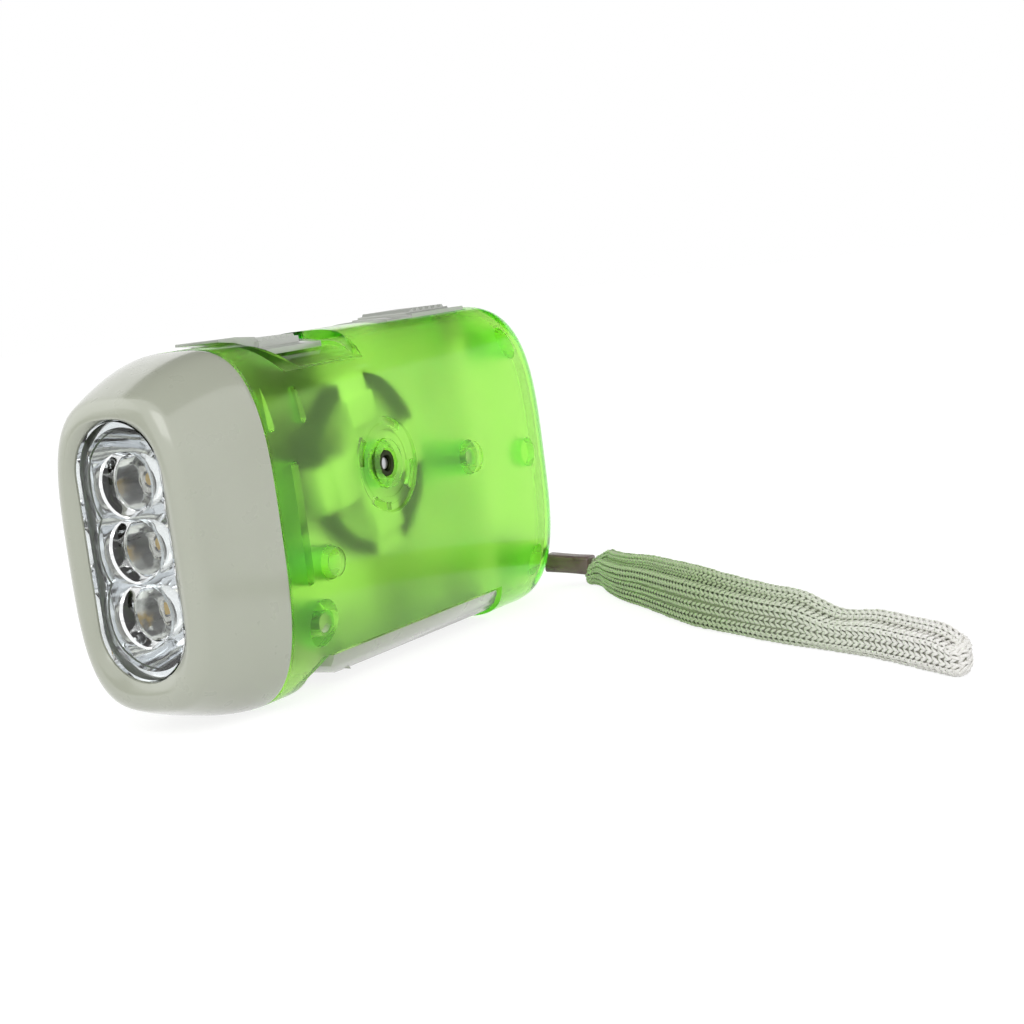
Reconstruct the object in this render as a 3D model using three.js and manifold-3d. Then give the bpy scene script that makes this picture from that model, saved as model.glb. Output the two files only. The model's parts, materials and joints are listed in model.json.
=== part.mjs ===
// Hand-squeezed dynamo flashlight: three lamps behind a clear lens, a grey front bezel, a green see-through
// housing in two halves, a squeeze lever under the body that drives a gear train and a flywheel generator,
// two ridged slides on top and a woven wrist strap at the tail.
// Millimetres. The lens looks along -Y, +Z is up, and the origin is on the resting plane under the middle.

import * as THREE from "three";
import { mergeVertices } from "three/addons/utils/BufferGeometryUtils.js";
import Module from "manifold-3d";

const wasm = await Module();
wasm.setup();

// Driving dimensions

// Distances called "back" run from the front rim towards the tail, and "rise" is the height over mid-height.
const bodyLength = 98;
const bodyWidth = 31;
const bodyHeight = 54;
const sectionPower = 3.3;
const wall = 1.8;
const gap = 0.3;
const runningGap = 0.28;
const overrun = 2;

const hood = {
  length: 16.5, rimInsetX: 3.5, rimInsetZ: 5.1, rimRound: 1.3, drop: 0.7,
  widthPower: 1.1, heightPower: 1.6, frontWall: 2,
};
const tail = { profileRadius: 8.5, planRadius: 7.2 };
const neck = { length: 3.6, wall: 1.3, merge: 1.4, clearance: 0.5, taper: 0.8 };

const lens = {
  rimX: 3.9, rimZ: 2.9, recess: 1, flange: 1.2, thickness: 1.2,
  domeRadius: 4.8, domeRise: 0.6, coneLength: 4.2, coneEndRadius: 3.7,
};
const lamp = { radius: 2.5, flangeRadius: 2.9, flange: 0.9, height: 6.2, spacing: 9.5 };
const cup = { mouthOver: 0.1, wall: 0.9, flange: 0.8, backRadius: 3.2 };
const lampBoard = { edgeX: 0.5, edgeZ: 0.2, thickness: 1.2, back: 14.6, restWidth: 8, restGrip: 1.5 };

const rotor = { back: 44.9, rise: 5.2, axleRadius: 1, tipInset: 0.9 };
// The wheel has as many teeth as fit behind the rotor and under the top, and the lever's arc as many as reach its pin.
const train = {
  spurTeeth: 10, wheelModule: 0.8, pinionTeeth: 12, sectorModule: 1,
  wheelBearing: -6.35, leverBearing: 202.6, tailRoom: 5, topRoom: 1.2, pinBack: 25.7,
  pressure: 25, addendum: 0.82, dedendum: 1.15, backlash: 0.24,
};
const wheel = { thickness: 2.6, holes: 6, holeShare: 0.565, hubRadius: 4.6, rim: 2.2 };
const pinion = { thickness: 3, discRadius: 5.6, disc: 0.6, offset: 0.3 };
const spur = { overhang: 0.4 };
const flywheel = {
  topRoom: 5.8, rim: 2, rimThickness: 3.4, spokes: 4, spokeWidth: 7.2, spokeThickness: 2.4, turn: 9.3,
  padEdge: 3.2, padLength: 4.4, padThickness: 1.1, hubRadius: 4.2, hubLength: 4.4, fromWall: 2.7,
};
const magnet = { radius: 6.5, length: 5, fromWall: 1.5 };
const core = {
  fromWall: 2.4, thickness: 2.4, shoe: 2.6, airGap: 0.6, shoeAngle: 65, legHeight: 2.8, reach: 14.6, yokeWidth: 4,
};
const coil = { flange: 0.8, tube: 0.5, winding: 0.9, clear: 0.3, sectorGap: 0.4 };
const bush = { radius: 2.1, length: 2.4 };
const driveAxle = { radius: 1.2, tipInset: 1.5 };

const lever = {
  clearance: 0.3, raise: 0.5, wall: 1.6, height: 5.5, openHeight: 6, openAngle: 18,
  earX: 6.2, earThickness: 2.6, earRadius: 3.5, earReach: 11, earFoot: 5,
  stripDepth: 2.75, webThickness: 1.2, webLength: 12,
  openLead: 3.8, openSlope: 2.6, tailLength: 21.5, tailSlope: 4,
  lugX: 2.2, lugWidth: 4, lugInset: 6, lugLength: 3, lugHeight: 10, nose: 3.1, noseHeight: 2,
};
// The lever's rounded nose from its top edge to its floor, as distances behind the pin and over the underside.
const leverNose = [[2.7, 5.5], [3.3, 3.6], [5.5, 2.2], [8.5, 1.3], [12.3, 0.5], [15.8, 0]];
const leverPin = { radius: 1.6, bossRadius: 3.5, tipInset: 2.4 };
const spring = {
  wire: 0.9, meanRadius: 2.9, turns: 5, pitch: 1.6, turnSteps: 8, sides: 5,
  frontLeg: 6.2, rearLeg: 14, rearBend: 7.5, rearDrop: 1.2, enterAngle: -52, leaveAngle: -97,
};

// The scoop's floor is crowned across the body, its front is a ramp and its rear end a squarish arc.
const scoop = {
  front: 22.8, slope: 7.2, rampDepth: 4.7, depth: 2.1, crown: 30.4, halfWidth: 13, arcCentre: 39, arcLength: 8.8,
  rampPower: 3, rearPower: 2 / 3, pan: 1.5, steps: 7, slotHalfWidth: 1.8, slotClear: 1,
};
const slide = {
  halfWidth: 6.8, front: 29.6, length: 13.9, plate: 0.9, travel: 3,
  padHalfWidth: 5, padFront: 30.4, padLength: 9.9, padTop: 0.1, ridges: 6, ridge: 0.45,
  stemBack: 34.4, stemLength: 3, stemHalfWidth: 1.2, wedgeHalfWidth: 4.2,
};
// The thumb wedge in front of the pad, seen from the side: distances from the front rim and over the top.
const wedge = [[22, 0.4], [25.5, 0], [30.8, -1.4], [31.5, -0.4], [30.6, 0.4], [26, 0.8], [22, 0.8]];
const switchBox = { halfWidth: 3.4, back: 31.2, length: 12, height: 5.4, wall: 0.8, wiper: 2.4, wiperHeight: 1.2 };
const lock = {
  recess: 0.9, halfWidth: 6.2, fromTail: 35, length: 23.5, plate: 0.8, travel: 3, clear: 0.5,
  padHalfWidth: 5, padStart: 7.5, padLength: 13, padTop: 1, ridges: 6, ridge: 0.45,
  armX: 2.6, armWidth: 3.2, armLength: 3, toe: 3.4, toeHeight: 1.8, toeClear: 0.4, armDrop: 4.7,
};

const screw = {
  radius: 1.15, length: 15.5, headRadius: 2.5, faceShare: 0.8, head: 1.7, slotReach: 1.5, slotHalf: 0.5, slotDepth: 0.7,
  nutBossRadius: 2.6, headBossRadius: 3.9, seat: 9,
};
const screwInsets = { front: 2.6, frontDrop: 7.2, tailTop: 8.7, top: 7.6, tailLow: 8.5, low: 8.5 };
const rib = { thickness: 1, depth: 2.4, holdBack: 23, holdLow: -9.3, holdHigh: 8.5 };
// Short ribs under the top: distance from the front rim, and depths of their two ends below the top.
const shortRibs = [[19.6, 13.2, 6.4], [27.4, 12.8, 7.8]];
const dial = { radius: 7.7, hubRadius: 3.8, hubRing: 0.9, recess: 0.4, slots: 4, slotWidth: 2.6, slotDepth: 0.5 };
const pinDish = { margin: 0.3, recess: 0.3 };
const tailPeg = { fromTail: 9.4, rise: 0.5, radius: 2.5, length: 3 };

const cell = { radius: 5.8, thickness: 5.2, count: 3, back: 23.3, rise: 3.5 };
const cradle = { thickness: 0.9, openAngle: 150 };
const board = { fromWall: 1.4, thickness: 1.2, fromTail: 22.5, length: 11, low: -9, topRoom: 15, peg: 1.6 };
const bridge = { size: 5, height: 2.2, inset: 3.5, rise: 5 };
const capacitor = { radius: 2.5, length: 7, inset: 5.5, rise: -3.2 };
const lead = { radius: 0.6, steps: 22, sides: 6 };

const strapEye = { halfWidth: 2.3, low: 4.7, high: 11.5 };
const loop = { radius: 0.6, steps: 32, sides: 6 };
const crimp = { height: 3.4, width: 4, sides: 16 };
const strap = { lift: 0.3, halfThickness: 2.3, steps: 36, sides: 8 };

// Colours and surfaces

const paint = (color, roughness, metalness = 0, opacity = 1) =>
  new THREE.MeshStandardMaterial({ color, roughness, metalness, opacity, transparent: opacity < 1 });
const greenShell = () => paint(0x7ee85a, 0.25, 0, 0.55);
const greyPlastic = () => paint(0xb4b6a8, 0.35);
const whiteNylon = () => paint(0xeeefe6, 0.5);
const blackPlastic = () => paint(0x2a2b2b, 0.5);
const steel = () => paint(0xb9bbbd, 0.3, 1);
const darkSteel = () => paint(0x46413e, 0.45, 0.8);
const brass = () => paint(0xc9a24a, 0.3, 1);

// Places in the part's frame

const Y = (back) => back - bodyLength / 2;
const Z = (rise) => rise + bodyHeight / 2;
const halfWidth = bodyWidth / 2;
const halfHeight = bodyHeight / 2;
const radians = THREE.MathUtils.degToRad;

const innerHalfWidth = halfWidth - wall;
const innerHalfHeight = halfHeight - wall;
const rimHalfWidth = halfWidth - hood.rimInsetX;
const rimHalfHeight = halfHeight - hood.rimInsetZ;
const lensHalfWidth = rimHalfWidth - lens.rimX;
const lensHalfHeight = rimHalfHeight - lens.rimZ;

const toothTip = train.addendum * train.wheelModule;
const roomBehind = bodyLength - wall - train.tailRoom - rotor.back - toothTip;
const teethBehind = roomBehind / train.wheelModule - train.spurTeeth / 2;
const sinkPerTooth = (-Math.sin(radians(train.wheelBearing)) * train.wheelModule) / 2;
const roomAbove = innerHalfHeight - rotor.rise - train.topRoom - toothTip + train.spurTeeth * sinkPerTooth;
const teethAbove = roomAbove / (train.wheelModule / 2 - sinkPerTooth);
const wheelTeeth = Math.floor(Math.min(teethBehind, teethAbove));
const centreDistance = ((wheelTeeth + train.spurTeeth) * train.wheelModule) / 2;
const drive = {
  back: rotor.back + centreDistance * Math.cos(radians(train.wheelBearing)),
  rise: rotor.rise + centreDistance * Math.sin(radians(train.wheelBearing)),
};
const pinDistance = (drive.back - train.pinBack) / -Math.cos(radians(train.leverBearing));
const sectorTeeth = Math.round((2 * pinDistance) / train.sectorModule) - train.pinionTeeth;
const leverDistance = ((sectorTeeth + train.pinionTeeth) * train.sectorModule) / 2;
const pivot = {
  back: drive.back + leverDistance * Math.cos(radians(train.leverBearing)),
  rise: drive.rise + leverDistance * Math.sin(radians(train.leverBearing)),
};

const magnetX = -innerHalfWidth + magnet.fromWall;
const coreX = -innerHalfWidth + core.fromWall;
const coilDepth = coil.clear + coil.tube + coil.winding;
const sectorX = coreX + core.thickness + coilDepth + coil.sectorGap;
const wheelX = sectorX + pinion.offset + pinion.thickness + pinion.disc + gap;
const boardX = -innerHalfWidth + board.fromWall;
const boardBack = bodyLength - board.fromTail;
const boardHigh = halfHeight - board.topRoom;
const flywheelRadius = innerHalfHeight - rotor.rise - flywheel.topRoom;
const flywheelFace = innerHalfWidth - flywheel.fromWall;

const screwPlaces = [
  { name: "front", back: pivot.back + screwInsets.front, rise: -screwInsets.frontDrop },
  { name: "tail_top", back: bodyLength - screwInsets.tailTop, rise: halfHeight - screwInsets.top },
  { name: "tail_low", back: bodyLength - screwInsets.tailLow, rise: -halfHeight + screwInsets.low },
];
const scoopFloor = halfHeight - scoop.depth;
const leverTailBack = bodyLength - lever.tailLength;
const lugBack = leverTailBack - lever.lugInset;
const lugTop = -halfHeight + lever.lugHeight;
const lockBack = bodyLength - lock.fromTail;
const armBack = lugBack + lever.lugLength + lever.nose + lock.toe + lock.toeClear;
const toeTop = lugTop - lever.noseHeight - lock.toeClear;
const lampRises = [lamp.spacing, 0, -lamp.spacing];

// Solids

function solid(geometry) {
  const plain = new THREE.BufferGeometry().setAttribute("position", geometry.getAttribute("position").clone());
  if (geometry.index) plain.setIndex(geometry.index.clone());
  const merged = mergeVertices(plain, 1e-4);
  return new wasm.Manifold(new wasm.Mesh({
    numProp: 3,
    vertProperties: new Float32Array(merged.getAttribute("position").array),
    triVerts: new Uint32Array(merged.index.array),
  }));
}

function geometryOf(body) {
  const mesh = body.getMesh();
  const geometry = new THREE.BufferGeometry();
  geometry.setAttribute("position", new THREE.BufferAttribute(new Float32Array(mesh.vertProperties), 3));
  geometry.setIndex(new THREE.BufferAttribute(new Uint32Array(mesh.triVerts), 1));
  const flat = geometry.toNonIndexed();
  flat.computeVertexNormals();
  return flat;
}

const join = (...bodies) => bodies.flat().reduce((all, one) => all.add(one));
const cut = (body, ...tools) => tools.flat().reduce((left, tool) => left.subtract(tool), body);

const group = new THREE.Group();
function place(name, body, material) {
  const mesh = new THREE.Mesh(body.isBufferGeometry ? body : geometryOf(body), material);
  mesh.name = name;
  group.add(mesh);
  return mesh;
}

// A flat shape drawn with "back" and "rise", given thickness from x0 to x1.
function plateX(shape, x0, x1) {
  const geometry = new THREE.ExtrudeGeometry(shape, { depth: x1 - x0, bevelEnabled: false, curveSegments: 9 });
  geometry.applyMatrix4(new THREE.Matrix4().makeBasis(
    new THREE.Vector3(0, 1, 0), new THREE.Vector3(0, 0, 1), new THREE.Vector3(1, 0, 0)));
  geometry.translate(x0, Y(0), Z(0));
  return solid(geometry);
}

// A flat shape drawn with x and "rise", given thickness from back0 to back1.
function plateY(shape, back0, back1) {
  const geometry = new THREE.ExtrudeGeometry(shape, { depth: back1 - back0, bevelEnabled: false, curveSegments: 10 });
  geometry.rotateX(Math.PI / 2);
  geometry.translate(0, Y(back1), Z(0));
  return solid(geometry);
}

// A flat shape drawn with x and "back", given thickness from rise0 to rise1.
function plateZ(shape, rise0, rise1) {
  const geometry = new THREE.ExtrudeGeometry(shape, { depth: rise1 - rise0, bevelEnabled: false, curveSegments: 12 });
  geometry.translate(0, Y(0), Z(rise0));
  return solid(geometry);
}

const outline = (points) => new THREE.Shape(points.map(([u, v]) => new THREE.Vector2(u, v)));

// Straight-sided box between two corners given as [x, back, rise].
function box([x0, back0, rise0], [x1, back1, rise1]) {
  const geometry = new THREE.BoxGeometry(x1 - x0, back1 - back0, rise1 - rise0);
  geometry.translate((x0 + x1) / 2, Y((back0 + back1) / 2), Z((rise0 + rise1) / 2));
  return solid(geometry);
}

// Round bar along X at a place, or a tapered one.
function rod(at, x0, x1, radius, endRadius = radius, segments = 16) {
  const geometry = new THREE.CylinderGeometry(radius, endRadius, x1 - x0, segments);
  geometry.rotateZ(Math.PI / 2);
  geometry.translate((x0 + x1) / 2, Y(at.back), Z(at.rise));
  return solid(geometry);
}

// A turned piece round an axis along Y: the profile lists [radius, back].
function turnedY(profile, x, rise, segments = 20) {
  const geometry = new THREE.LatheGeometry(profile.map(([r, b]) => new THREE.Vector2(r, b)), segments);
  geometry.translate(x, Y(0), Z(rise));
  const body = solid(geometry);
  return body.volume() < 0 ? solid(flipped(geometry)) : body;
}

function flipped(geometry) {
  const turned = geometry.clone();
  const index = turned.index.array;
  for (let i = 0; i < index.length; i += 3) [index[i + 1], index[i + 2]] = [index[i + 2], index[i + 1]];
  return turned;
}

// Rings of equal length, from front to back, joined into one closed body.
function loft(rings) {
  const count = rings[0].length;
  const points = rings.flat();
  const faces = [];
  for (let r = 0; r < rings.length - 1; r += 1) {
    for (let i = 0; i < count; i += 1) {
      const a = r * count + i;
      const b = r * count + ((i + 1) % count);
      faces.push(a, b, b + count, a, b + count, a + count);
    }
  }
  const first = points.push(middle(rings[0])) - 1;
  const last = points.push(middle(rings[rings.length - 1])) - 1;
  const lastRing = (rings.length - 1) * count;
  for (let i = 0; i < count; i += 1) {
    const j = (i + 1) % count;
    faces.push(first, j, i, last, lastRing + i, lastRing + j);
  }
  const geometry = new THREE.BufferGeometry();
  geometry.setAttribute("position", new THREE.Float32BufferAttribute(points.flat(), 3));
  geometry.setIndex(faces);
  const body = solid(geometry);
  return body.volume() < 0 ? solid(flipped(geometry)) : body;
}

const middle = (ring) => [0, 1, 2].map((k) => ring.reduce((sum, p) => sum + p[k], 0) / ring.length);

// The body's cross section: a superellipse whose top, bottom and sides end in short flats.
const sectionPoints = 40;
const innerSectionPoints = 28;
function section(a, b, back, count = sectionPoints, centre = 0) {
  const flat = Math.cos(Math.PI / count) ** (2 / sectionPower);
  return Array.from({ length: count }, (_, i) => {
    const angle = ((i + 0.5) * 2 * Math.PI) / count;
    const c = Math.cos(angle);
    const s = Math.sin(angle);
    const x = (Math.sign(c) * a * Math.abs(c) ** (2 / sectionPower)) / flat;
    const z = (Math.sign(s) * b * Math.abs(s) ** (2 / sectionPower)) / flat;
    return [x, Y(back), Z(z + centre)];
  });
}

// Long oval with round ends, drawn with x and rise.
function stadium(a, b) {
  const shape = new THREE.Shape();
  shape.moveTo(a, -(b - a));
  shape.lineTo(a, b - a);
  shape.absarc(0, b - a, a, 0, Math.PI, false);
  shape.lineTo(-a, -(b - a));
  shape.absarc(0, -(b - a), a, Math.PI, 2 * Math.PI, false);
  return shape;
}

// Outline of an involute gear, or of a toothed arc between two tooth numbers, round its own centre.
function toothPoints(teeth, module, phase, first = 0, last = teeth - 1, straight = false) {
  const pitch = (teeth * module) / 2;
  const pressure = radians(train.pressure);
  const base = pitch * Math.cos(pressure);
  const outer = pitch + train.addendum * module;
  const root = pitch - train.dedendum * module;
  const halfTooth = ((Math.PI / 2) * module - train.backlash) / 2 / pitch;
  const involute = (r) => {
    const a = Math.acos(Math.min(1, base / r));
    return Math.tan(a) - a;
  };
  const spread = (r) => halfTooth + involute(pitch) - involute(Math.max(r, base));
  const flank = straight ? [root, outer] : [root, Math.max(pitch, base), outer];
  const points = [];
  for (let k = first; k <= last; k += 1) {
    const centre = radians(phase) + (k * 2 * Math.PI) / teeth;
    for (const r of flank) points.push([r * Math.cos(centre - spread(r)), r * Math.sin(centre - spread(r))]);
    for (const r of [...flank].reverse()) points.push([r * Math.cos(centre + spread(r)), r * Math.sin(centre + spread(r))]);
  }
  return points;
}

const shifted = (points, at) => points.map(([u, v]) => [u + at.back, v + at.rise]);

function circleHole(shape, u, v, radius) {
  const hole = new THREE.Path();
  hole.absarc(u, v, radius, 0, 2 * Math.PI, true);
  shape.holes.push(hole);
}

// A round tube along a line of points, closed at both ends.
function tubeAlong(points, radius, sides) {
  const rings = [];
  let normal = null;
  points.forEach((p, i) => {
    const before = points[Math.max(0, i - 1)];
    const after = points[Math.min(points.length - 1, i + 1)];
    const tangent = after.clone().sub(before).normalize();
    if (!normal) {
      const helper = Math.abs(tangent.z) < 0.8 ? new THREE.Vector3(0, 0, 1) : new THREE.Vector3(1, 0, 0);
      normal = helper.cross(tangent).normalize();
    }
    normal.addScaledVector(tangent, -normal.dot(tangent)).normalize();
    const side = tangent.clone().cross(normal);
    rings.push(Array.from({ length: sides }, (_, k) => {
      const angle = (k * 2 * Math.PI) / sides;
      return p.clone().addScaledVector(normal, radius * Math.cos(angle))
        .addScaledVector(side, radius * Math.sin(angle)).toArray();
    }));
  });
  return loft(rings);
}

const at3 = ([x, back, rise]) => new THREE.Vector3(x, Y(back), Z(rise));

// Front bezel, lens and lamps

// Half sizes and centre height of the hood at a distance behind the rim, with a rounded edge at the rim itself.
function hoodHalf(back) {
  const left = 1 - Math.min(1, back / hood.length);
  const grow = (rim, full, power) => full - (full - rim) * left ** power;
  const edge = Math.max(0, 1 - back / hood.rimRound);
  const inset = hood.rimRound * (1 - Math.sqrt(1 - edge ** 2));
  return [
    grow(rimHalfWidth, halfWidth, hood.widthPower) - inset,
    grow(rimHalfHeight, halfHeight, hood.heightPower) - inset,
    -hood.drop * left,
  ];
}

const hoodShares = [0, 0.012, 0.035, 0.08, 0.2, 0.38, 0.58, 0.79, 1];
const innerShares = [0, 0.15, 0.35, 0.6, 0.8, 1];
const seam = hood.length;

function frontBezel() {
  const end = seam - gap / 2;
  const outer = loft(hoodShares.map((share) => {
    const [a, b, centre] = hoodHalf(share * end);
    return section(a, b, share * end, sectionPoints, centre);
  }));
  const depth = end + overrun - hood.frontWall;
  const inner = loft(innerShares.map((share) => {
    const back = hood.frontWall + share * depth;
    const [a, b, centre] = hoodHalf(back);
    return section(a - wall, b - wall, back, innerSectionPoints, centre);
  }));
  const window = plateY(stadium(lensHalfWidth, lensHalfHeight), -overrun, hood.frontWall + overrun);
  return cut(outer, inner, window);
}

const lensBack = hood.frontWall + gap + lens.thickness;

const domeShares = [[0, 1], [0.5, 0.8], [0.8, 0.4], [1, 0]];

function lensBody() {
  const flange = plateY(
    stadium(lensHalfWidth + lens.flange, lensHalfHeight + lens.flange), hood.frontWall + gap, lensBack);
  const face = plateY(
    stadium(lensHalfWidth - gap, lensHalfHeight - gap), lens.recess, hood.frontWall + gap + lens.thickness / 2);
  const dome = (rise) => turnedY([
    ...domeShares.map(([out, high]) => [lens.domeRadius * out, lens.recess - lens.domeRise * high]),
    [lens.domeRadius, lensBack],
    [lens.coneEndRadius, lensBack + lens.coneLength],
    [0, lensBack + lens.coneLength],
  ], 0, rise);
  return join(flange, face, lampRises.map(dome));
}

const reflectorFront = lensBack + gap;
const reflectorBack = lampBoard.back - gap;
const cupShares = [0, 0.16, 0.4, 0.7, 1];

// Radius of a lamp cup at a share of its depth: a parabola that opens towards the lens.
function cupRadius(share, extra) {
  const open = Math.sqrt(1 - share);
  return cup.backRadius + (lensHalfWidth + cup.mouthOver - cup.backRadius) * open + extra;
}

function reflector() {
  const depth = reflectorBack - reflectorFront;
  const flange = plateY(
    stadium(lensHalfWidth + lens.flange, lensHalfHeight + lens.flange), reflectorFront, reflectorFront + cup.flange);
  const outer = (rise) => turnedY([
    [0, reflectorFront],
    ...cupShares.map((share) => [cupRadius(share, cup.wall), reflectorFront + share * depth]),
    [0, reflectorBack],
  ], 0, rise);
  const inner = (rise) => turnedY([
    [0, reflectorFront - overrun],
    [cupRadius(0, 0), reflectorFront - overrun],
    ...cupShares.map((share) => [cupRadius(share, 0), reflectorFront + share * depth]),
    [cup.backRadius, reflectorBack + overrun],
    [0, reflectorBack + overrun],
  ], 0, rise);
  const trim = plateY(
    stadium(lensHalfWidth + lens.flange, lensHalfHeight + lens.flange), reflectorFront, reflectorBack + overrun);
  return cut(join(flange, lampRises.map(outer)).intersect(trim), lampRises.map(inner));
}

const lampShares = [0.35, 0.65, 0.88];

function lampBody(rise) {
  const base = lampBoard.back - gap;
  const straight = lamp.height - lamp.radius;
  const dome = lampShares.map((share) => [
    lamp.radius * Math.sqrt(1 - share ** 2), base - straight - lamp.radius * share]);
  return turnedY([
    [0, base],
    [lamp.flangeRadius, base],
    [lamp.flangeRadius, base - lamp.flange],
    [lamp.radius, base - lamp.flange],
    [lamp.radius, base - straight],
    ...dome,
    [0, base - lamp.height],
  ], 0, rise, 16);
}

place("front_bezel", frontBezel(), greyPlastic());
place("lens", lensBody(), paint(0xf4f8fa, 0.05, 0, 0.4));
place("reflector", reflector(), paint(0xe6e8ea, 0.06, 1));
lampRises.forEach((rise, i) => place(`lamp_${i + 1}`, lampBody(rise), paint(0xf6f3e4, 0.1, 0, 0.6)));
place("lamp_board", plateY(stadium(lensHalfWidth + lampBoard.edgeX, lensHalfHeight + lampBoard.edgeZ), lampBoard.back,
  lampBoard.back + lampBoard.thickness), paint(0xe8ead8, 0.5));

// Housing halves

const shellFront = seam + gap / 2;
const tailShares = [0, 0.2, 0.4, 0.6, 0.8, 1];

// The closed outer form of the housing, or the same form drawn in by a depth.
function housingForm(depth, front) {
  const a = halfWidth - depth;
  const b = halfHeight - depth;
  const count = depth ? innerSectionPoints : sectionPoints;
  const rings = [section(a, b, front, count)];
  for (const share of tailShares) {
    const turn = (share * Math.PI) / 2;
    const drop = 1 - Math.cos(turn);
    const back = bodyLength - depth - tail.profileRadius * (1 - Math.sin(turn));
    rings.push(section(a - tail.planRadius * drop, b - tail.profileRadius * drop, back, count));
  }
  return loft(rings);
}

const outerForm = housingForm(0, shellFront);
const neckFront = shellFront - neck.length;
const neckDepth = wall + neck.clearance;
const neckEnd = shellFront + neck.merge;
const boreHalfWidth = halfWidth - neckDepth - neck.wall;
const boreHalfHeight = halfHeight - neckDepth - neck.wall;

function emptyShell() {
  const tongue = loft([
    section(halfWidth - neckDepth - neck.taper, halfHeight - neckDepth - neck.taper, neckFront, innerSectionPoints),
    section(halfWidth - neckDepth, halfHeight - neckDepth, neckEnd + gap, innerSectionPoints),
  ]);
  const bore = loft([
    section(boreHalfWidth - neck.taper, boreHalfHeight - neck.taper, neckFront - overrun, innerSectionPoints),
    section(boreHalfWidth, boreHalfHeight, neckEnd + overrun, innerSectionPoints),
  ]);
  return cut(join(outerForm, tongue), housingForm(wall, neckEnd), bore);
}

// A line across the body that follows the scoop's crowned floor, raised or lowered by a distance.
function crownLine(reachX, raise, steps) {
  const radius = scoop.crown + raise;
  const centre = scoopFloor - scoop.crown;
  return Array.from({ length: steps + 1 }, (_, i) => {
    const x = reachX * ((2 * i) / steps - 1);
    return [x, centre + Math.sqrt(radius ** 2 - x ** 2)];
  });
}

// The thumb scoop in the top, or the same form made larger by a distance.
function scoopTool(extra) {
  const top = halfHeight + overrun;
  const front = scoop.front - extra;
  const foot = halfHeight - scoop.rampDepth - extra;
  const ramp = Array.from({ length: scoop.steps + 1 }, (_, i) => {
    const turn = ((i / scoop.steps) * Math.PI) / 2;
    return [front + scoop.slope * Math.sin(turn), foot + (halfHeight - foot) * Math.cos(turn) ** scoop.rampPower];
  });
  const end = scoop.arcCentre + scoop.arcLength + extra + overrun;
  const side = plateX(outline([[front, top], ...ramp, [end, foot], [end, top]]), -halfWidth - overrun,
    halfWidth + overrun);
  const wide = scoop.halfWidth + extra;
  const floor = plateY(outline([...crownLine(wide, -extra, scoop.steps * 2), [wide, top], [-wide, top]]),
    front - overrun, end);
  const rear = Array.from({ length: scoop.steps * 2 + 1 }, (_, i) => {
    const turn = (i * Math.PI) / scoop.steps / 2;
    const cosine = Math.cos(turn);
    return [Math.sign(cosine) * wide * Math.abs(cosine) ** scoop.rearPower,
      scoop.arcCentre + (scoop.arcLength + extra) * Math.sin(turn) ** scoop.rearPower];
  });
  const plan = outline([[-wide, front - overrun], [wide, front - overrun], ...rear]);
  return side.intersect(floor).intersect(plateZ(plan, foot - overrun, top + overrun));
}

// The opening under the body that the lever closes, seen from the side.
function leverOpening() {
  const low = -halfHeight - overrun;
  const front = pivot.back - leverPin.bossRadius + gap;
  return plateX(outline([
    [front, low],
    [leverTailBack + lever.tailSlope + overrun, low],
    [leverTailBack + lever.tailSlope, -halfHeight],
    [leverTailBack, -halfHeight + lever.openHeight],
    [front + lever.openLead, -halfHeight + lever.openHeight],
    [front, -halfHeight + lever.openHeight - lever.openSlope],
  ]), -halfWidth - overrun, halfWidth + overrun);
}

// Short wall across X at a side, from its inner end to the shell.
const reach = halfWidth;

function sideRib(side, innerX, back, low, high) {
  const from = side > 0 ? innerX : -reach;
  const to = side > 0 ? reach : -innerX;
  return box([from, back - rib.thickness / 2, low], [to, back + rib.thickness / 2, high]);
}

function boss(side, at, innerX, radius) {
  return side > 0 ? rod(at, innerX, reach, radius) : rod(at, -reach, -innerX, radius);
}

const batteryHalf = (cell.count * cell.thickness + (cell.count - 1) * gap) / 2;
const splitHalf = gap / 2;
const driveLeftEnd = wheelX + wheel.thickness + gap + runningGap;
const driveRightEnd = -(wheelX - gap - pinion.disc - pinion.thickness) + gap;
const earEnd = lever.earX + lever.earThickness;
const flywheelHubEnd = flywheelFace - flywheel.spokeThickness + flywheel.hubLength / 2;
const rotorLeftEnd = flywheelHubEnd + gap;
const rotorRightEnd = -magnetX + gap;

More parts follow.
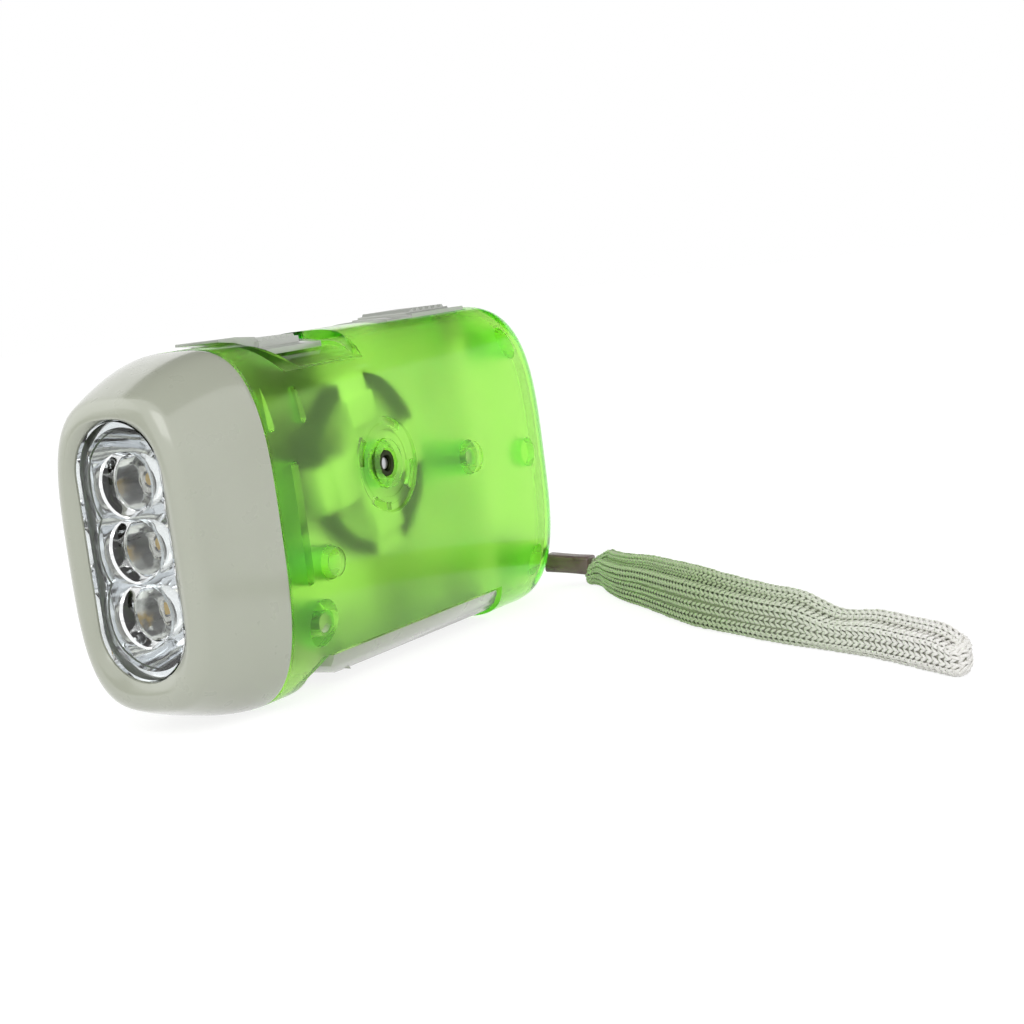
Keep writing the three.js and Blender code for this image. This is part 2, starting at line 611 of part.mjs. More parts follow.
// What stands inside a half: bosses, ribs and rests.
function innerForms(side) {
  const restHigh = boreHalfHeight + neck.wall / 2;
  const restLow = lensHalfHeight + lampBoard.edgeZ - lampBoard.restGrip;
  const restFront = lampBoard.back + lampBoard.thickness + gap;
  const rests = [1, -1].map((up) => box(
    [-lampBoard.restWidth / 2, restFront, up > 0 ? restLow : -restHigh],
    [lampBoard.restWidth / 2, restFront + wall, up > 0 ? restHigh : -restLow]));
  const common = [
    ...rests,
    boss(side, pivot, earEnd + gap, leverPin.bossRadius),
    boss(side, drive, side > 0 ? driveLeftEnd : driveRightEnd, dial.hubRadius - dial.hubRing),
    boss(side, rotor, side > 0 ? rotorLeftEnd : rotorRightEnd, dial.hubRadius),
    sideRib(side, batteryHalf + gap, rib.holdBack, rib.holdLow, rib.holdHigh),
    ...screwPlaces.map((at) => boss(side, at, 0, side > 0 ? screw.nutBossRadius : screw.headBossRadius)),
  ];
  const left = [
    ...shortRibs.map(([back, low, high]) => sideRib(
      1, innerHalfWidth - rib.depth, back, halfHeight - low, halfHeight - high)),
    boss(1, { back: bodyLength - tailPeg.fromTail, rise: tailPeg.rise }, innerHalfWidth - tailPeg.length, tailPeg.radius),
  ];
  const right = [
    ...corePosts.map((at) => boss(-1, at, -coreX + gap, core.legHeight / 2 + gap)),
    ...boardPegs.map((at) => boss(-1, at, -boardX + gap, board.peg)),
  ];
  return join(...common, ...(side > 0 ? left : right));
}

// Shallow round dish on the outside over the end of a pin.
function outerDish(side, at, radius, depth, segments = 24) {
  return side > 0 ? rod(at, halfWidth - depth, halfWidth + overrun, radius, radius, segments)
    : rod(at, -halfWidth - overrun, -halfWidth + depth, radius, radius, segments);
}

function rotorDial(side) {
  const dish = outerDish(side, rotor, dial.radius, dial.recess, 36);
  const ring = outerDish(side, rotor, dial.hubRadius, wall);
  const slots = Array.from({ length: dial.slots }, (_, i) => {
    const angle = ((i + 0.5) * 2 * Math.PI) / dial.slots;
    const mid = dial.radius - dial.hubRing;
    const slot = { back: rotor.back + mid * Math.cos(angle), rise: rotor.rise + mid * Math.sin(angle) };
    return outerDish(side, slot, dial.slotWidth / 2, dial.recess + dial.slotDepth, 10);
  });
  return [dish.subtract(ring), ...slots];
}

function holesIn(side) {
  const through = (at, radius, from) => (side > 0 ? rod(at, from, halfWidth + overrun, radius)
    : rod(at, -halfWidth - overrun, -from, radius));
  const blind = (at, radius, tip) => (side > 0 ? rod(at, 0, halfWidth - tip, radius)
    : rod(at, -halfWidth + tip, 0, radius));
  const holes = [
    ...rotorDial(side),
    through(rotor, bush.radius + runningGap, 0),
    blind(drive, driveAxle.radius + runningGap, driveAxle.tipInset - gap),
    blind(pivot, leverPin.radius + runningGap, leverPin.tipInset - gap),
    outerDish(side, pivot, leverPin.bossRadius - pinDish.margin, pinDish.recess),
    outerDish(side, drive, dial.hubRadius - dial.hubRing - pinDish.margin, pinDish.recess),
  ];
  const screwHoles = screwPlaces.map((at) => (side > 0
    ? rod(at, -overrun, screw.length - screw.seat + gap, screw.radius + runningGap)
    : join(rod(at, -screw.seat - overrun, overrun, screw.radius + runningGap),
      rod(at, -halfWidth - overrun, -screw.seat, screw.headRadius + gap))));
  return [...holes, ...screwHoles];
}

function topCuts() {
  const slot = box([-scoop.slotHalfWidth, slide.stemBack - scoop.slotClear, scoopFloor - scoop.pan - overrun],
    [scoop.slotHalfWidth, slide.stemBack + slide.stemLength + slide.travel + scoop.slotClear, halfHeight + overrun]);
  const lockFloor = halfHeight - lock.recess;
  const recess = box([-lock.halfWidth - gap, lockBack - lock.travel - lock.clear, lockFloor],
    [lock.halfWidth + gap, lockBack + lock.length + lock.clear, halfHeight + overrun]);
  const armSlot = box([lock.armX - gap, armBack - lock.travel - lock.clear, innerHalfHeight - overrun],
    [lock.armX + lock.armWidth + gap, armBack + lock.armLength + lock.clear, halfHeight + overrun]);
  return [scoopTool(0), slot, recess, armSlot];
}

function housing(side) {
  const halfSpace = side > 0
    ? box([splitHalf, 0, -bodyHeight], [bodyWidth, bodyLength + overrun, bodyHeight])
    : box([-bodyWidth, 0, -bodyHeight], [-splitHalf, bodyLength + overrun, bodyHeight]);
  const eye = box([-strapEye.halfWidth, bodyLength - tail.profileRadius, -halfHeight + strapEye.low],
    [strapEye.halfWidth, bodyLength + overrun, -halfHeight + strapEye.high]);
  const room = housingForm(wall / 2, neckFront - wall);
  const body = join(emptyShell(), innerForms(side).intersect(room), scoopTool(scoop.pan).intersect(outerForm));
  return cut(body, leverOpening(), ...topCuts(), eye, ...holesIn(side)).intersect(halfSpace);
}

// Generator and gear train

const magnetEnd = magnetX + magnet.length;
const shoeInner = magnet.radius + core.airGap;
const shoeOuter = shoeInner + core.shoe;
const yokeBack = rotor.back + core.reach;
const yokeEnd = yokeBack + core.yokeWidth;
const legMid = shoeOuter - core.legHeight / 2;
const postBack = (rotor.back + yokeBack) / 2;
const corePosts = [1, -1].map((up) => ({ back: postBack + gap, rise: rotor.rise + up * legMid }));
const boardPegs = [board.low, boardHigh].map((rise, i) => ({
  back: boardBack + board.length - board.peg * 2,
  rise: rise + (i ? -board.peg * 2 : board.peg * 2),
}));

place("housing_left", housing(1), greenShell());
place("housing_right", housing(-1), greenShell());

function driveWheel() {
  const shape = outline(shifted(
    toothPoints(wheelTeeth, train.wheelModule, train.wheelBearing + 180, 0, wheelTeeth - 1, true), drive));
  circleHole(shape, drive.back, drive.rise, driveAxle.radius + runningGap);
  const root = (wheelTeeth / 2 - train.dedendum) * train.wheelModule;
  const ringMid = (wheel.hubRadius + root - wheel.rim) / 2;
  const holeRadius = ((root - wheel.rim - wheel.hubRadius) / 2) * wheel.holeShare;
  for (let i = 0; i < wheel.holes; i += 1) {
    const angle = (i * 2 * Math.PI) / wheel.holes;
    circleHole(shape, drive.back + ringMid * Math.cos(angle), drive.rise + ringMid * Math.sin(angle), holeRadius);
  }
  return plateX(shape, wheelX, wheelX + wheel.thickness);
}

const pinionX1 = wheelX - gap;
const pinionX0 = pinionX1 - pinion.disc - pinion.thickness;

function drivePinion() {
  const shape = outline(shifted(toothPoints(train.pinionTeeth, train.sectorModule,
    train.leverBearing + 180 / train.pinionTeeth), drive));
  const teeth = plateX(shape, pinionX0, pinionX1 - pinion.disc / 2);
  const disc = rod(drive, pinionX1 - pinion.disc, pinionX1, pinion.discRadius, pinion.discRadius, 24);
  return cut(join(teeth, disc), rod(drive, pinionX0 - overrun, pinionX1 + overrun, driveAxle.radius + runningGap));
}

function flywheelSpur() {
  const shape = outline(shifted(toothPoints(train.spurTeeth, train.wheelModule,
    train.wheelBearing + 180 / train.spurTeeth), rotor));
  circleHole(shape, rotor.back, rotor.rise, rotor.axleRadius + runningGap);
  return plateX(shape, wheelX - spur.overhang, wheelX + wheel.thickness + spur.overhang);
}

function flywheelBody() {
  const face = flywheelFace;
  const padOuter = flywheelRadius - flywheel.padEdge;
  const rimIn = flywheelRadius - flywheel.rim;
  const rim = cut(rod(rotor, face - flywheel.rimThickness, face, flywheelRadius, flywheelRadius, 48),
    rod(rotor, face - flywheel.rimThickness - overrun, face + overrun, rimIn, rimIn, 48));
  const spokes = [];
  for (let i = 0; i < flywheel.spokes; i += 1) {
    const angle = radians(flywheel.turn) + (i * 2 * Math.PI) / flywheel.spokes;
    const turnPoint = ([u, v]) => [
      rotor.back + u * Math.cos(angle) - v * Math.sin(angle),
      rotor.rise + u * Math.sin(angle) + v * Math.cos(angle)];
    const half = flywheel.spokeWidth / 2;
    const arm = (inner, outer) => outline([[inner, -half], [outer, -half], [outer, half], [inner, half]].map(turnPoint));
    spokes.push(plateX(arm(0, rimIn + flywheel.rim / 2), face - flywheel.spokeThickness, face));
    spokes.push(plateX(arm(padOuter - flywheel.padLength, padOuter), face - flywheel.spokeThickness / 2,
      face + flywheel.padThickness));
  }
  const hub = rod(rotor, flywheelHubEnd - flywheel.hubLength, flywheelHubEnd, flywheel.hubRadius);
  const bore = rod(rotor, 0, halfWidth, rotor.axleRadius + runningGap);
  const clear = rod(rotor, flywheelHubEnd, halfWidth, dial.hubRadius + gap * 2);
  return cut(join(rim, ...spokes, hub), bore, clear);
}

// Soft iron frame round the magnet: two curved pole shoes, two legs and the yoke that carries the coil.
function statorCore() {
  const arc = (up) => {
    const shape = new THREE.Shape();
    const middleAngle = up > 0 ? 90 : -90;
    const from = radians(middleAngle - core.shoeAngle);
    const to = radians(middleAngle + core.shoeAngle);
    shape.absarc(rotor.back, rotor.rise, shoeOuter, from, to, false);
    shape.absarc(rotor.back, rotor.rise, shoeInner, to, from, true);
    return plateX(shape, coreX, coreX + core.thickness);
  };
  const leg = (up) => box(
    [coreX, rotor.back, up > 0 ? rotor.rise + shoeOuter - core.legHeight : rotor.rise - shoeOuter],
    [coreX + core.thickness, yokeEnd, up > 0 ? rotor.rise + shoeOuter : rotor.rise - shoeOuter + core.legHeight]);
  const yoke = box([coreX, yokeBack, rotor.rise - shoeOuter],
    [coreX + core.thickness, yokeEnd, rotor.rise + shoeOuter]);
  const air = rod(rotor, coreX - overrun, coreX + core.thickness + overrun, shoeInner);
  return cut(join(arc(1), arc(-1), leg(1), leg(-1), yoke), air);
}

const coilLow = rotor.rise - shoeOuter + core.legHeight + gap;
const coilHigh = rotor.rise + shoeOuter - core.legHeight - gap;

// A rectangular sleeve round the yoke, between two heights, from an inner to an outer distance.
function sleeve(inner, outer, low, high) {
  const ring = (d, lo, hi) => box([coreX - d, yokeBack - d, lo], [coreX + core.thickness + d, yokeEnd + d, hi]);
  return cut(ring(outer, low, high), ring(inner, low - overrun, high + overrun));
}

function coilBobbin() {
  const tubeOut = coil.clear + coil.tube;
  return join(
    sleeve(coil.clear, tubeOut, coilLow, coilHigh),
    sleeve(coil.clear, coilDepth, coilLow, coilLow + coil.flange),
    sleeve(coil.clear, coilDepth, coilHigh - coil.flange, coilHigh));
}

function coilWinding() {
  const inner = coil.clear + coil.tube + gap;
  return sleeve(inner, coilDepth, coilLow + coil.flange + gap, coilHigh - coil.flange - gap);
}

function rotorBush(side) {
  const outer = halfWidth - dial.recess;
  const from = side > 0 ? outer - bush.length : -outer;
  return cut(rod(rotor, from, from + bush.length, bush.radius),
    rod(rotor, from - overrun, from + bush.length + overrun, rotor.axleRadius + runningGap));
}

place("drive_wheel", driveWheel(), whiteNylon());
place("drive_pinion", drivePinion(), whiteNylon());
place("drive_axle", rod(drive, -halfWidth + driveAxle.tipInset, halfWidth - driveAxle.tipInset, driveAxle.radius), steel());
place("flywheel", flywheelBody(), whiteNylon());
place("flywheel_spur", flywheelSpur(), brass());
place("rotor_axle", rod(rotor, -halfWidth + rotor.tipInset, halfWidth - rotor.tipInset, rotor.axleRadius), steel());
place("rotor_magnet", cut(rod(rotor, magnetX, magnetEnd, magnet.radius, magnet.radius, 28),
  rod(rotor, magnetX - overrun, magnetEnd + overrun, rotor.axleRadius + runningGap)), paint(0x3a3a3d, 0.5, 0.3));
place("rotor_bush_left", rotorBush(1), brass());
place("rotor_bush_right", rotorBush(-1), brass());
place("stator_core", statorCore(), paint(0x8a8c90, 0.4, 0.9));
place("coil_bobbin", coilBobbin(), whiteNylon());
place("coil_winding", coilWinding(), paint(0xb4622e, 0.35, 0.8));

// Squeeze lever with its toothed arc

const floorTop = -(halfHeight - lever.raise) + lever.wall;
const leverTop = -halfHeight + lever.height;
const nosePoints = leverNose.map(([behind, over]) => [pivot.back + behind, -halfHeight + over]);
const [noseTop] = nosePoints;

function leverChannel() {
  const profile = (inset) => outline([
    ...nosePoints.map(([back, rise]) => [back + inset, rise + inset]).reverse(),
    [noseTop[0] + inset, leverTop + (inset ? overrun : 0)],
    [leverTailBack - gap * 2 - inset, leverTop + (inset ? overrun : 0)],
    [leverTailBack + lever.tailSlope - gap * 3 - inset, -halfHeight],
  ]);
  const form = (depth, raise) => loft([
    section(halfWidth - depth, halfHeight - raise, 0),
    section(halfWidth - depth, halfHeight - raise, bodyLength)]);
  const outer = form(lever.clearance, lever.raise).intersect(plateX(profile(0), -halfWidth, halfWidth));
  const inner = form(lever.clearance + lever.wall, lever.raise + lever.wall)
    .intersect(plateX(profile(lever.wall), -halfWidth, halfWidth));
  return outer.subtract(inner);
}

const earShares = [[-0.6, -0.8], [0.9, 0.4]];

function leverEar(side) {
  const from = side > 0 ? lever.earX : -earEnd;
  const foot = floorTop - lever.wall / 2;
  const head = rod(pivot, from, from + lever.earThickness, lever.earRadius);
  const leg = plateX(outline([
    ...earShares.map(([u, v]) => [pivot.back + lever.earRadius * u, pivot.rise + lever.earRadius * v]),
    [pivot.back + lever.earReach, foot],
    [pivot.back + lever.earReach - lever.earFoot, foot + lever.wall],
    [noseTop[0] + lever.wall / 2, noseTop[1] - lever.wall / 2],
  ]), from, from + lever.earThickness);
  return join(head, leg);
}

const sectorPitch = (sectorTeeth * train.sectorModule) / 2;
const sectorRoot = sectorPitch - train.dedendum * train.sectorModule;
const meshBearing = train.leverBearing - 180;

// Toothed arc that stands on the lever's floor and drives the pinion.
function leverSector() {
  const toothAngle = 360 / sectorTeeth;
  const below = -1;
  const above = Math.ceil(lever.openAngle / toothAngle) + 1;
  const teeth = toothPoints(sectorTeeth, train.sectorModule, meshBearing, below, above);
  const stripInner = sectorRoot - lever.stripDepth;
  const polar = (r, degrees) => [r * Math.cos(radians(degrees)), r * Math.sin(radians(degrees))];
  const topAngle = meshBearing + (above + 0.5) * toothAngle;
  const lowAngle = THREE.MathUtils.radToDeg(Math.asin((floorTop - lever.wall / 2 - pivot.rise) / sectorRoot));
  const steps = 12;
  const arc = (radius, from, to) => Array.from({ length: steps + 1 },
    (_, i) => polar(radius, from + ((to - from) * i) / steps));
  const inner = arc(stripInner, topAngle, lowAngle);
  const outerLow = arc(sectorRoot, lowAngle, meshBearing + (below - 0.5) * toothAngle);
  const shape = outline(shifted([...outerLow, ...teeth, polar(sectorRoot, topAngle), ...inner], pivot));
  const strip = plateX(shape, sectorX, sectorX + pinion.thickness);
  const webMid = sectorX + pinion.thickness / 2;
  const webFoot = floorTop - lever.wall / 2;
  const [farBack, farRise] = polar(stripInner + lever.stripDepth / 2, 0);
  const web = plateX(outline([
    [pivot.back + farBack - lever.webLength, webFoot],
    [pivot.back + farBack - gap, webFoot],
    [pivot.back + farBack, pivot.rise + farRise + lever.earRadius * 2],
  ]), webMid - lever.webThickness / 2, webMid + lever.webThickness / 2);
  return join(strip, web);
}

// Tail lug with a rearward nose that the lock's toe slides under.
function leverLug() {
  const post = box([lever.lugX, lugBack, floorTop - lever.wall / 2],
    [lever.lugX + lever.lugWidth, lugBack + lever.lugLength, lugTop]);
  const nose = box([lever.lugX, lugBack, lugTop - lever.noseHeight],
    [lever.lugX + lever.lugWidth, lugBack + lever.lugLength + lever.nose, lugTop]);
  return join(post, nose);
}

function squeezeLever() {
  const body = join(leverChannel(), leverEar(1), leverEar(-1), leverSector(), leverLug());
  return body.subtract(rod(pivot, -halfWidth, halfWidth, leverPin.radius + runningGap));
}

// Torsion spring on the lever pin: its front leg rests on the housing, its rear leg on the lever's floor.
function leverSpring() {
  const points = [];
  const steps = spring.turns * spring.turnSteps;
  const startX = (-spring.turns * spring.pitch) / 2;
  const legRise = floorTop + spring.wire / 2 + gap;
  const twist = spring.turns * 360 + spring.leaveAngle - spring.enterAngle;
  points.push(at3([startX, pivot.back - spring.frontLeg, legRise]));
  for (let i = 0; i <= steps; i += 1) {
    const angle = radians(spring.enterAngle + (i / steps) * twist);
    points.push(at3([
      startX + (i / spring.turnSteps) * spring.pitch,
      pivot.back + spring.meanRadius * Math.cos(angle),
      pivot.rise + spring.meanRadius * Math.sin(angle)]));
  }
  points.push(at3([-startX, pivot.back + spring.rearBend, pivot.rise - spring.meanRadius - spring.rearDrop]));
  points.push(at3([-startX, pivot.back + spring.rearLeg, legRise]));
  reportLeastGap("lever_spring", points, spring.wire);
  return tubeAlong(points, spring.wire / 2, spring.sides);
}

// Prints the least free space between stretches of one tube that aren't neighbours along it.
function reportLeastGap(name, points, diameter) {
  const fine = [];
  const between = 6;
  const neighbour = 4;
  for (let i = 0; i < points.length - 1; i += 1) {
    for (let k = 0; k < between; k += 1) fine.push(points[i].clone().lerp(points[i + 1], k / between));
  }
  let least = Infinity;
  const along = [0];
  for (let i = 1; i < fine.length; i += 1) along.push(along[i - 1] + fine[i].distanceTo(fine[i - 1]));
  for (let i = 0; i < fine.length; i += 1) {
    for (let j = i + 1; j < fine.length; j += 1) {
      if (along[j] - along[i] > diameter * neighbour) least = Math.min(least, fine[i].distanceTo(fine[j]) - diameter);
    }
  }
  console.log(`${name}: least gap to itself ${least.toFixed(2)} mm`);
}

place("squeeze_lever", squeezeLever(), greyPlastic());
place("lever_pin", rod(pivot, -halfWidth + leverPin.tipInset, halfWidth - leverPin.tipInset, leverPin.radius), steel());
place("lever_spring", leverSpring(), steel());

// Lamp switch on top

const slideTop = halfHeight + slide.padTop;

// A band that lies over the scoop's crowned floor, between two heights above it.
function crownBand(halfW, back0, back1, low, high) {
  const under = crownLine(halfW, low, scoop.steps);
  const over = crownLine(halfW, high, scoop.steps).reverse();
  return plateY(outline([...under, ...over]), back0, back1);
}

const ridgeShares = [[0.3, 1], [0.12, 0], [-0.12, 0], [-0.3, 1]];

// A pad with a row of cross ridges on its top.
function ridgedPad(halfW, back, length, low, top, ridges, ridge) {
  const pitch = length / (ridges + 1);
  const points = [[back, low], [back + length, low], [back + length, top - ridge]];
  for (let i = ridges; i >= 1; i -= 1) {
    const mid = back + i * pitch;
    points.push(...ridgeShares.map(([along, down]) => [mid + pitch * along, top - ridge * down]));
  }
  points.push([back, top - ridge]);
  return plateX(outline(points), -halfW, halfW);
}

function switchSlide() {
  const low = gap;
  const high = gap + slide.plate;
  const plate = crownBand(slide.halfWidth, slide.front, slide.front + slide.length, low, high);
  const padEnd = slide.padFront + slide.padLength;
  const block = crownBand(slide.padHalfWidth, slide.padFront, padEnd, (low + high) / 2, halfHeight);
  const ridges = ridgedPad(slide.padHalfWidth, slide.padFront, slide.padLength, 0, slideTop, slide.ridges, slide.ridge);
  const nose = plateX(outline(wedge.map(([back, over]) => [back, halfHeight + over])), -slide.wedgeHalfWidth, slide.wedgeHalfWidth);
  const stem = box([-slide.stemHalfWidth, slide.stemBack, scoopFloor - scoop.pan + gap],
    [slide.stemHalfWidth, slide.stemBack + slide.stemLength, scoopFloor + high]);
  return join(plate, ridges.intersect(block), nose, stem);
}

const switchTop = scoopFloor - scoop.pan - gap * 2;

function switchBody() {
  const outer = box([-switchBox.halfWidth, switchBox.back, switchTop - switchBox.height],
    [switchBox.halfWidth, switchBox.back + switchBox.length, switchTop]);
  const w = switchBox.wall;
  const inner = box([-switchBox.halfWidth + w, switchBox.back + w, switchTop - switchBox.height + w * 2],
    [switchBox.halfWidth - w, switchBox.back + switchBox.length - w, switchTop + overrun]);
  return outer.subtract(inner);
}

function switchWiper() {
  const low = switchTop - switchBox.height + switchBox.wall * 2 + gap;
  const half = switchBox.halfWidth - switchBox.wall - gap;
  const foot = box([-half, slide.stemBack, low], [half, slide.stemBack + switchBox.wiper, low + switchBox.wiperHeight]);
  const post = box([-slide.stemHalfWidth, slide.stemBack, low],
    [slide.stemHalfWidth, slide.stemBack + switchBox.wiper, scoopFloor - scoop.pan]);
  return join(foot, post);
}

place("switch_slide", switchSlide(), greyPlastic());
place("switch_box", switchBody(), blackPlastic());
place("switch_wiper", switchWiper(), brass());

// Lever lock on top

const lockLow = halfHeight - lock.recess + gap;
const armTop = innerHalfHeight - lock.armDrop;

function lockSlide() {
  const plate = box([-lock.halfWidth, lockBack, lockLow], [lock.halfWidth, lockBack + lock.length, lockLow + lock.plate]);
  const pad = ridgedPad(lock.padHalfWidth, lockBack + lock.padStart, lock.padLength, lockLow + lock.plate / 2,
    halfHeight + lock.padTop, lock.ridges, lock.ridge);
  const stem = box([lock.armX, armBack, armTop + gap],
    [lock.armX + lock.armWidth, armBack + lock.armLength, lockLow + lock.plate / 2]);
  return join(plate, pad, stem);
}

function lockArm() {
  const arm = box([lock.armX, armBack, toeTop - lock.toeHeight],
    [lock.armX + lock.armWidth, armBack + lock.armLength, armTop]);
  const toe = box([lock.armX, armBack - lock.toe, toeTop - lock.toeHeight],
    [lock.armX + lock.armWidth, armBack + lock.armLength, toeTop]);
  return join(arm, toe);
}

place("lock_slide", lockSlide(), greyPlastic());
place("lock_arm", lockArm(), whiteNylon());

// Screws, battery and circuit board

function shellScrew(at) {
  const headFront = -screw.seat - screw.head;
  const head = rod(at, headFront, -screw.seat - gap, screw.headRadius * screw.faceShare, screw.headRadius, 16);
  const shank = rod(at, -screw.seat - gap - screw.head / 2, screw.length - screw.seat, screw.radius, screw.radius, 12);
  const slot = (along, across) => box([headFront - overrun, at.back - along, at.rise - across],
    [headFront + screw.slotDepth, at.back + along, at.rise + across]);
  const cross = [slot(screw.slotReach, screw.slotHalf), slot(screw.slotHalf, screw.slotReach)];
  return cut(join(head, shank), cross);
}

screwPlaces.forEach((at) => place(`shell_screw_${at.name}`, shellScrew(at), steel()));

for (let i = 0; i < cell.count; i += 1) {
  const x0 = -batteryHalf + i * (cell.thickness + gap);
  place(`battery_cell_${i + 1}`, rod(cell, x0, x0 + cell.thickness, cell.radius, cell.radius, 24), paint(0xc9cbcd, 0.25, 1));
}

function batteryCradle() {
  const inner = cell.radius + gap;
  const outer = inner + cradle.thickness;
  const shape = new THREE.Shape();
  const from = radians(-90 - (360 - cradle.openAngle) / 2);
  const to = radians(-90 + (360 - cradle.openAngle) / 2);
  shape.absarc(cell.back, cell.rise, outer, from, to, false);
  shape.absarc(cell.back, cell.rise, inner, to, from, true);
  return plateX(shape, -batteryHalf, batteryHalf);
}
place("battery_cradle", batteryCradle(), blackPlastic());

const boardFace = boardX + board.thickness;
place("circuit_board", box([boardX, boardBack, board.low], [boardFace, boardBack + board.length, boardHigh]),
  paint(0x2c7a4a, 0.5));
const bridgeBack = boardBack + bridge.inset;
place("rectifier", box([boardFace + gap, bridgeBack - bridge.size / 2, bridge.rise - bridge.size / 2],
  [boardFace + gap + bridge.height, bridgeBack + bridge.size / 2, bridge.rise + bridge.size / 2]), blackPlastic());
const capacitorPlace = { back: boardBack + capacitor.inset, rise: capacitor.rise };
place("capacitor", rod(capacitorPlace, boardFace + gap, boardFace + gap + capacitor.length, capacitor.radius), blackPlastic());

// Insulated leads from the lamp board to the circuit board, along the far wall and under the top. Each point is
// its distance from the wall, from the front rim or, where it is below zero, from the tail, and below the top.
const leadRoutes = {
  lead_red: [[10.7, 16.7, 13], [8.7, 17.6, 12.4], [4.7, 20, 11], [2.9, 26, 10], [2.8, 36, 9.4], [2.8, 50, 9],
    [2.8, -34, 9], [2.7, -24, 10.4], [2.2, -20, 12.6], [2, -19, 14.1]],
  lead_black: [[10.7, 16.7, 16.5], [8.7, 18, 14.6], [6.1, 22, 10.4], [4.5, 27, 8.2], [3.9, 36, 7.7], [3.9, 50, 7.6],
    [3.9, -34, 7.4], [3.7, -24, 8.4], [2.7, -16, 11.6], [2, -14.5, 14.1]],
};
const leadPoint = ([off, along, depth]) => at3([-innerHalfWidth + off, along < 0 ? bodyLength + along : along,
  halfHeight - depth]);
for (const [name, route] of Object.entries(leadRoutes)) {
  const curve = new THREE.CatmullRomCurve3(route.map(leadPoint), false, "centripetal");
  const colour = name === "lead_red" ? 0xb02a20 : 0x222222;
  place(name, tubeAlong(curve.getSpacedPoints(lead.steps), lead.radius, lead.sides), paint(colour, 0.5));
}

// Wrist strap: a thin loop round the low tail screw's boss, a metal crimp and the folded webbing

const loopRoute = [[4.2, 105.4, -21.4], [2.7, 102.8, -20.1], [1.4, 99.4, -18.2], [1.1, 95.6, -16.2],
  [1.1, 92.4, -15.1], [1.1, 89.5, -14.8], [1.1, 86.9, -15.7], [1.1, 85.75, -18.4], [1.1, 86.8, -21.1],
  [1.1, 89.5, -22.2], [1.1, 92.6, -21.8], [1.1, 95.9, -21], [1.5, 99.6, -21], [2.8, 103, -22], [4.2, 105.6, -23]];
const crimpRoute = [[5.2, 106.2, -22.4], [13.7, 107.1, -23.4]];
// The folded webbing stands on edge: each stretch is listed as [x, back, height].
const strapStretches = [[15.7, 106.5, 4.6], [18.9, 103.7, 5.9], [22.6, 98.8, 6.4], [29.5, 91.2, 7.2], [36.6, 85.1, 7.9],
  [45, 77.2, 8.4], [52.8, 70.2, 8.7], [59, 66, 8.2], [65, 62.4, 7.7], [71, 58.6, 7.4], [77.2, 55.2, 7.1],
  [84.1, 51.9, 5], [91.2, 47.9, 5.6], [97.8, 43.4, 5.5], [103.5, 39.2, 5.4], [106.5, 37.2, 4.3]];
const strapFloor = -halfHeight + strap.lift;
const strapRoute = strapStretches.map(([x, back, height]) => [x, back, strapFloor + height / 2]);

const loopCurve = new THREE.CatmullRomCurve3(loopRoute.map(at3), false, "centripetal");
place("strap_loop", tubeAlong(loopCurve.getSpacedPoints(loop.steps), loop.radius, loop.sides), blackPlastic());

const ribbonPower = 0.6;

// A flat section carried upright along a curve.
function ribbonAlong(points, halfTallAt, halfThick, sides) {
  const rings = points.map((p, i) => {
    const before = points[Math.max(0, i - 1)];
    const after = points[Math.min(points.length - 1, i + 1)];
    const tangent = after.clone().sub(before).normalize();
    const across = new THREE.Vector3(0, 0, 1).cross(tangent).normalize();
    const tall = tangent.clone().cross(across);
    const halfTall = halfTallAt(p);
    return Array.from({ length: sides }, (_, k) => {
      const angle = ((k + 0.5) * 2 * Math.PI) / sides;
      const u = Math.sign(Math.cos(angle)) * Math.abs(Math.cos(angle)) ** ribbonPower * halfThick;
      const v = Math.sign(Math.sin(angle)) * Math.abs(Math.sin(angle)) ** ribbonPower * halfTall;
      return p.clone().addScaledVector(across, u).addScaledVector(tall, v).toArray();
    });
  });
  return loft(rings);
}

const crimpEnds = crimpRoute.map(at3);
place("strap_crimp", ribbonAlong(crimpEnds, () => crimp.height / 2, crimp.width / 2, crimp.sides), darkSteel());
const strapCurve = new THREE.CatmullRomCurve3(strapRoute.map(at3), false, "centripetal");
place("wrist_strap", ribbonAlong(strapCurve.getSpacedPoints(strap.steps), (p) => p.z - Z(strapFloor),
  strap.halfThickness, strap.sides), paint(0xc8cbbf, 0.8));

export default group;
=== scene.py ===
# %% [markdown]
# A hand-squeezed flashlight of see-through green plastic, with a grey bezel and a knitted wrist strap,
# stands on a white table. Its solids already stand in the frame at their real size. This lesson dresses
# them. It could move or scale them to taste, but they have to fit and turn, so it keeps every place and
# size, and gives each piece its fine surface and its finish.

# %% The fixed frame
import json
import math

import bmesh
import bpy
from mathutils import Matrix, Vector
from mathutils.bvhtree import BVHTree


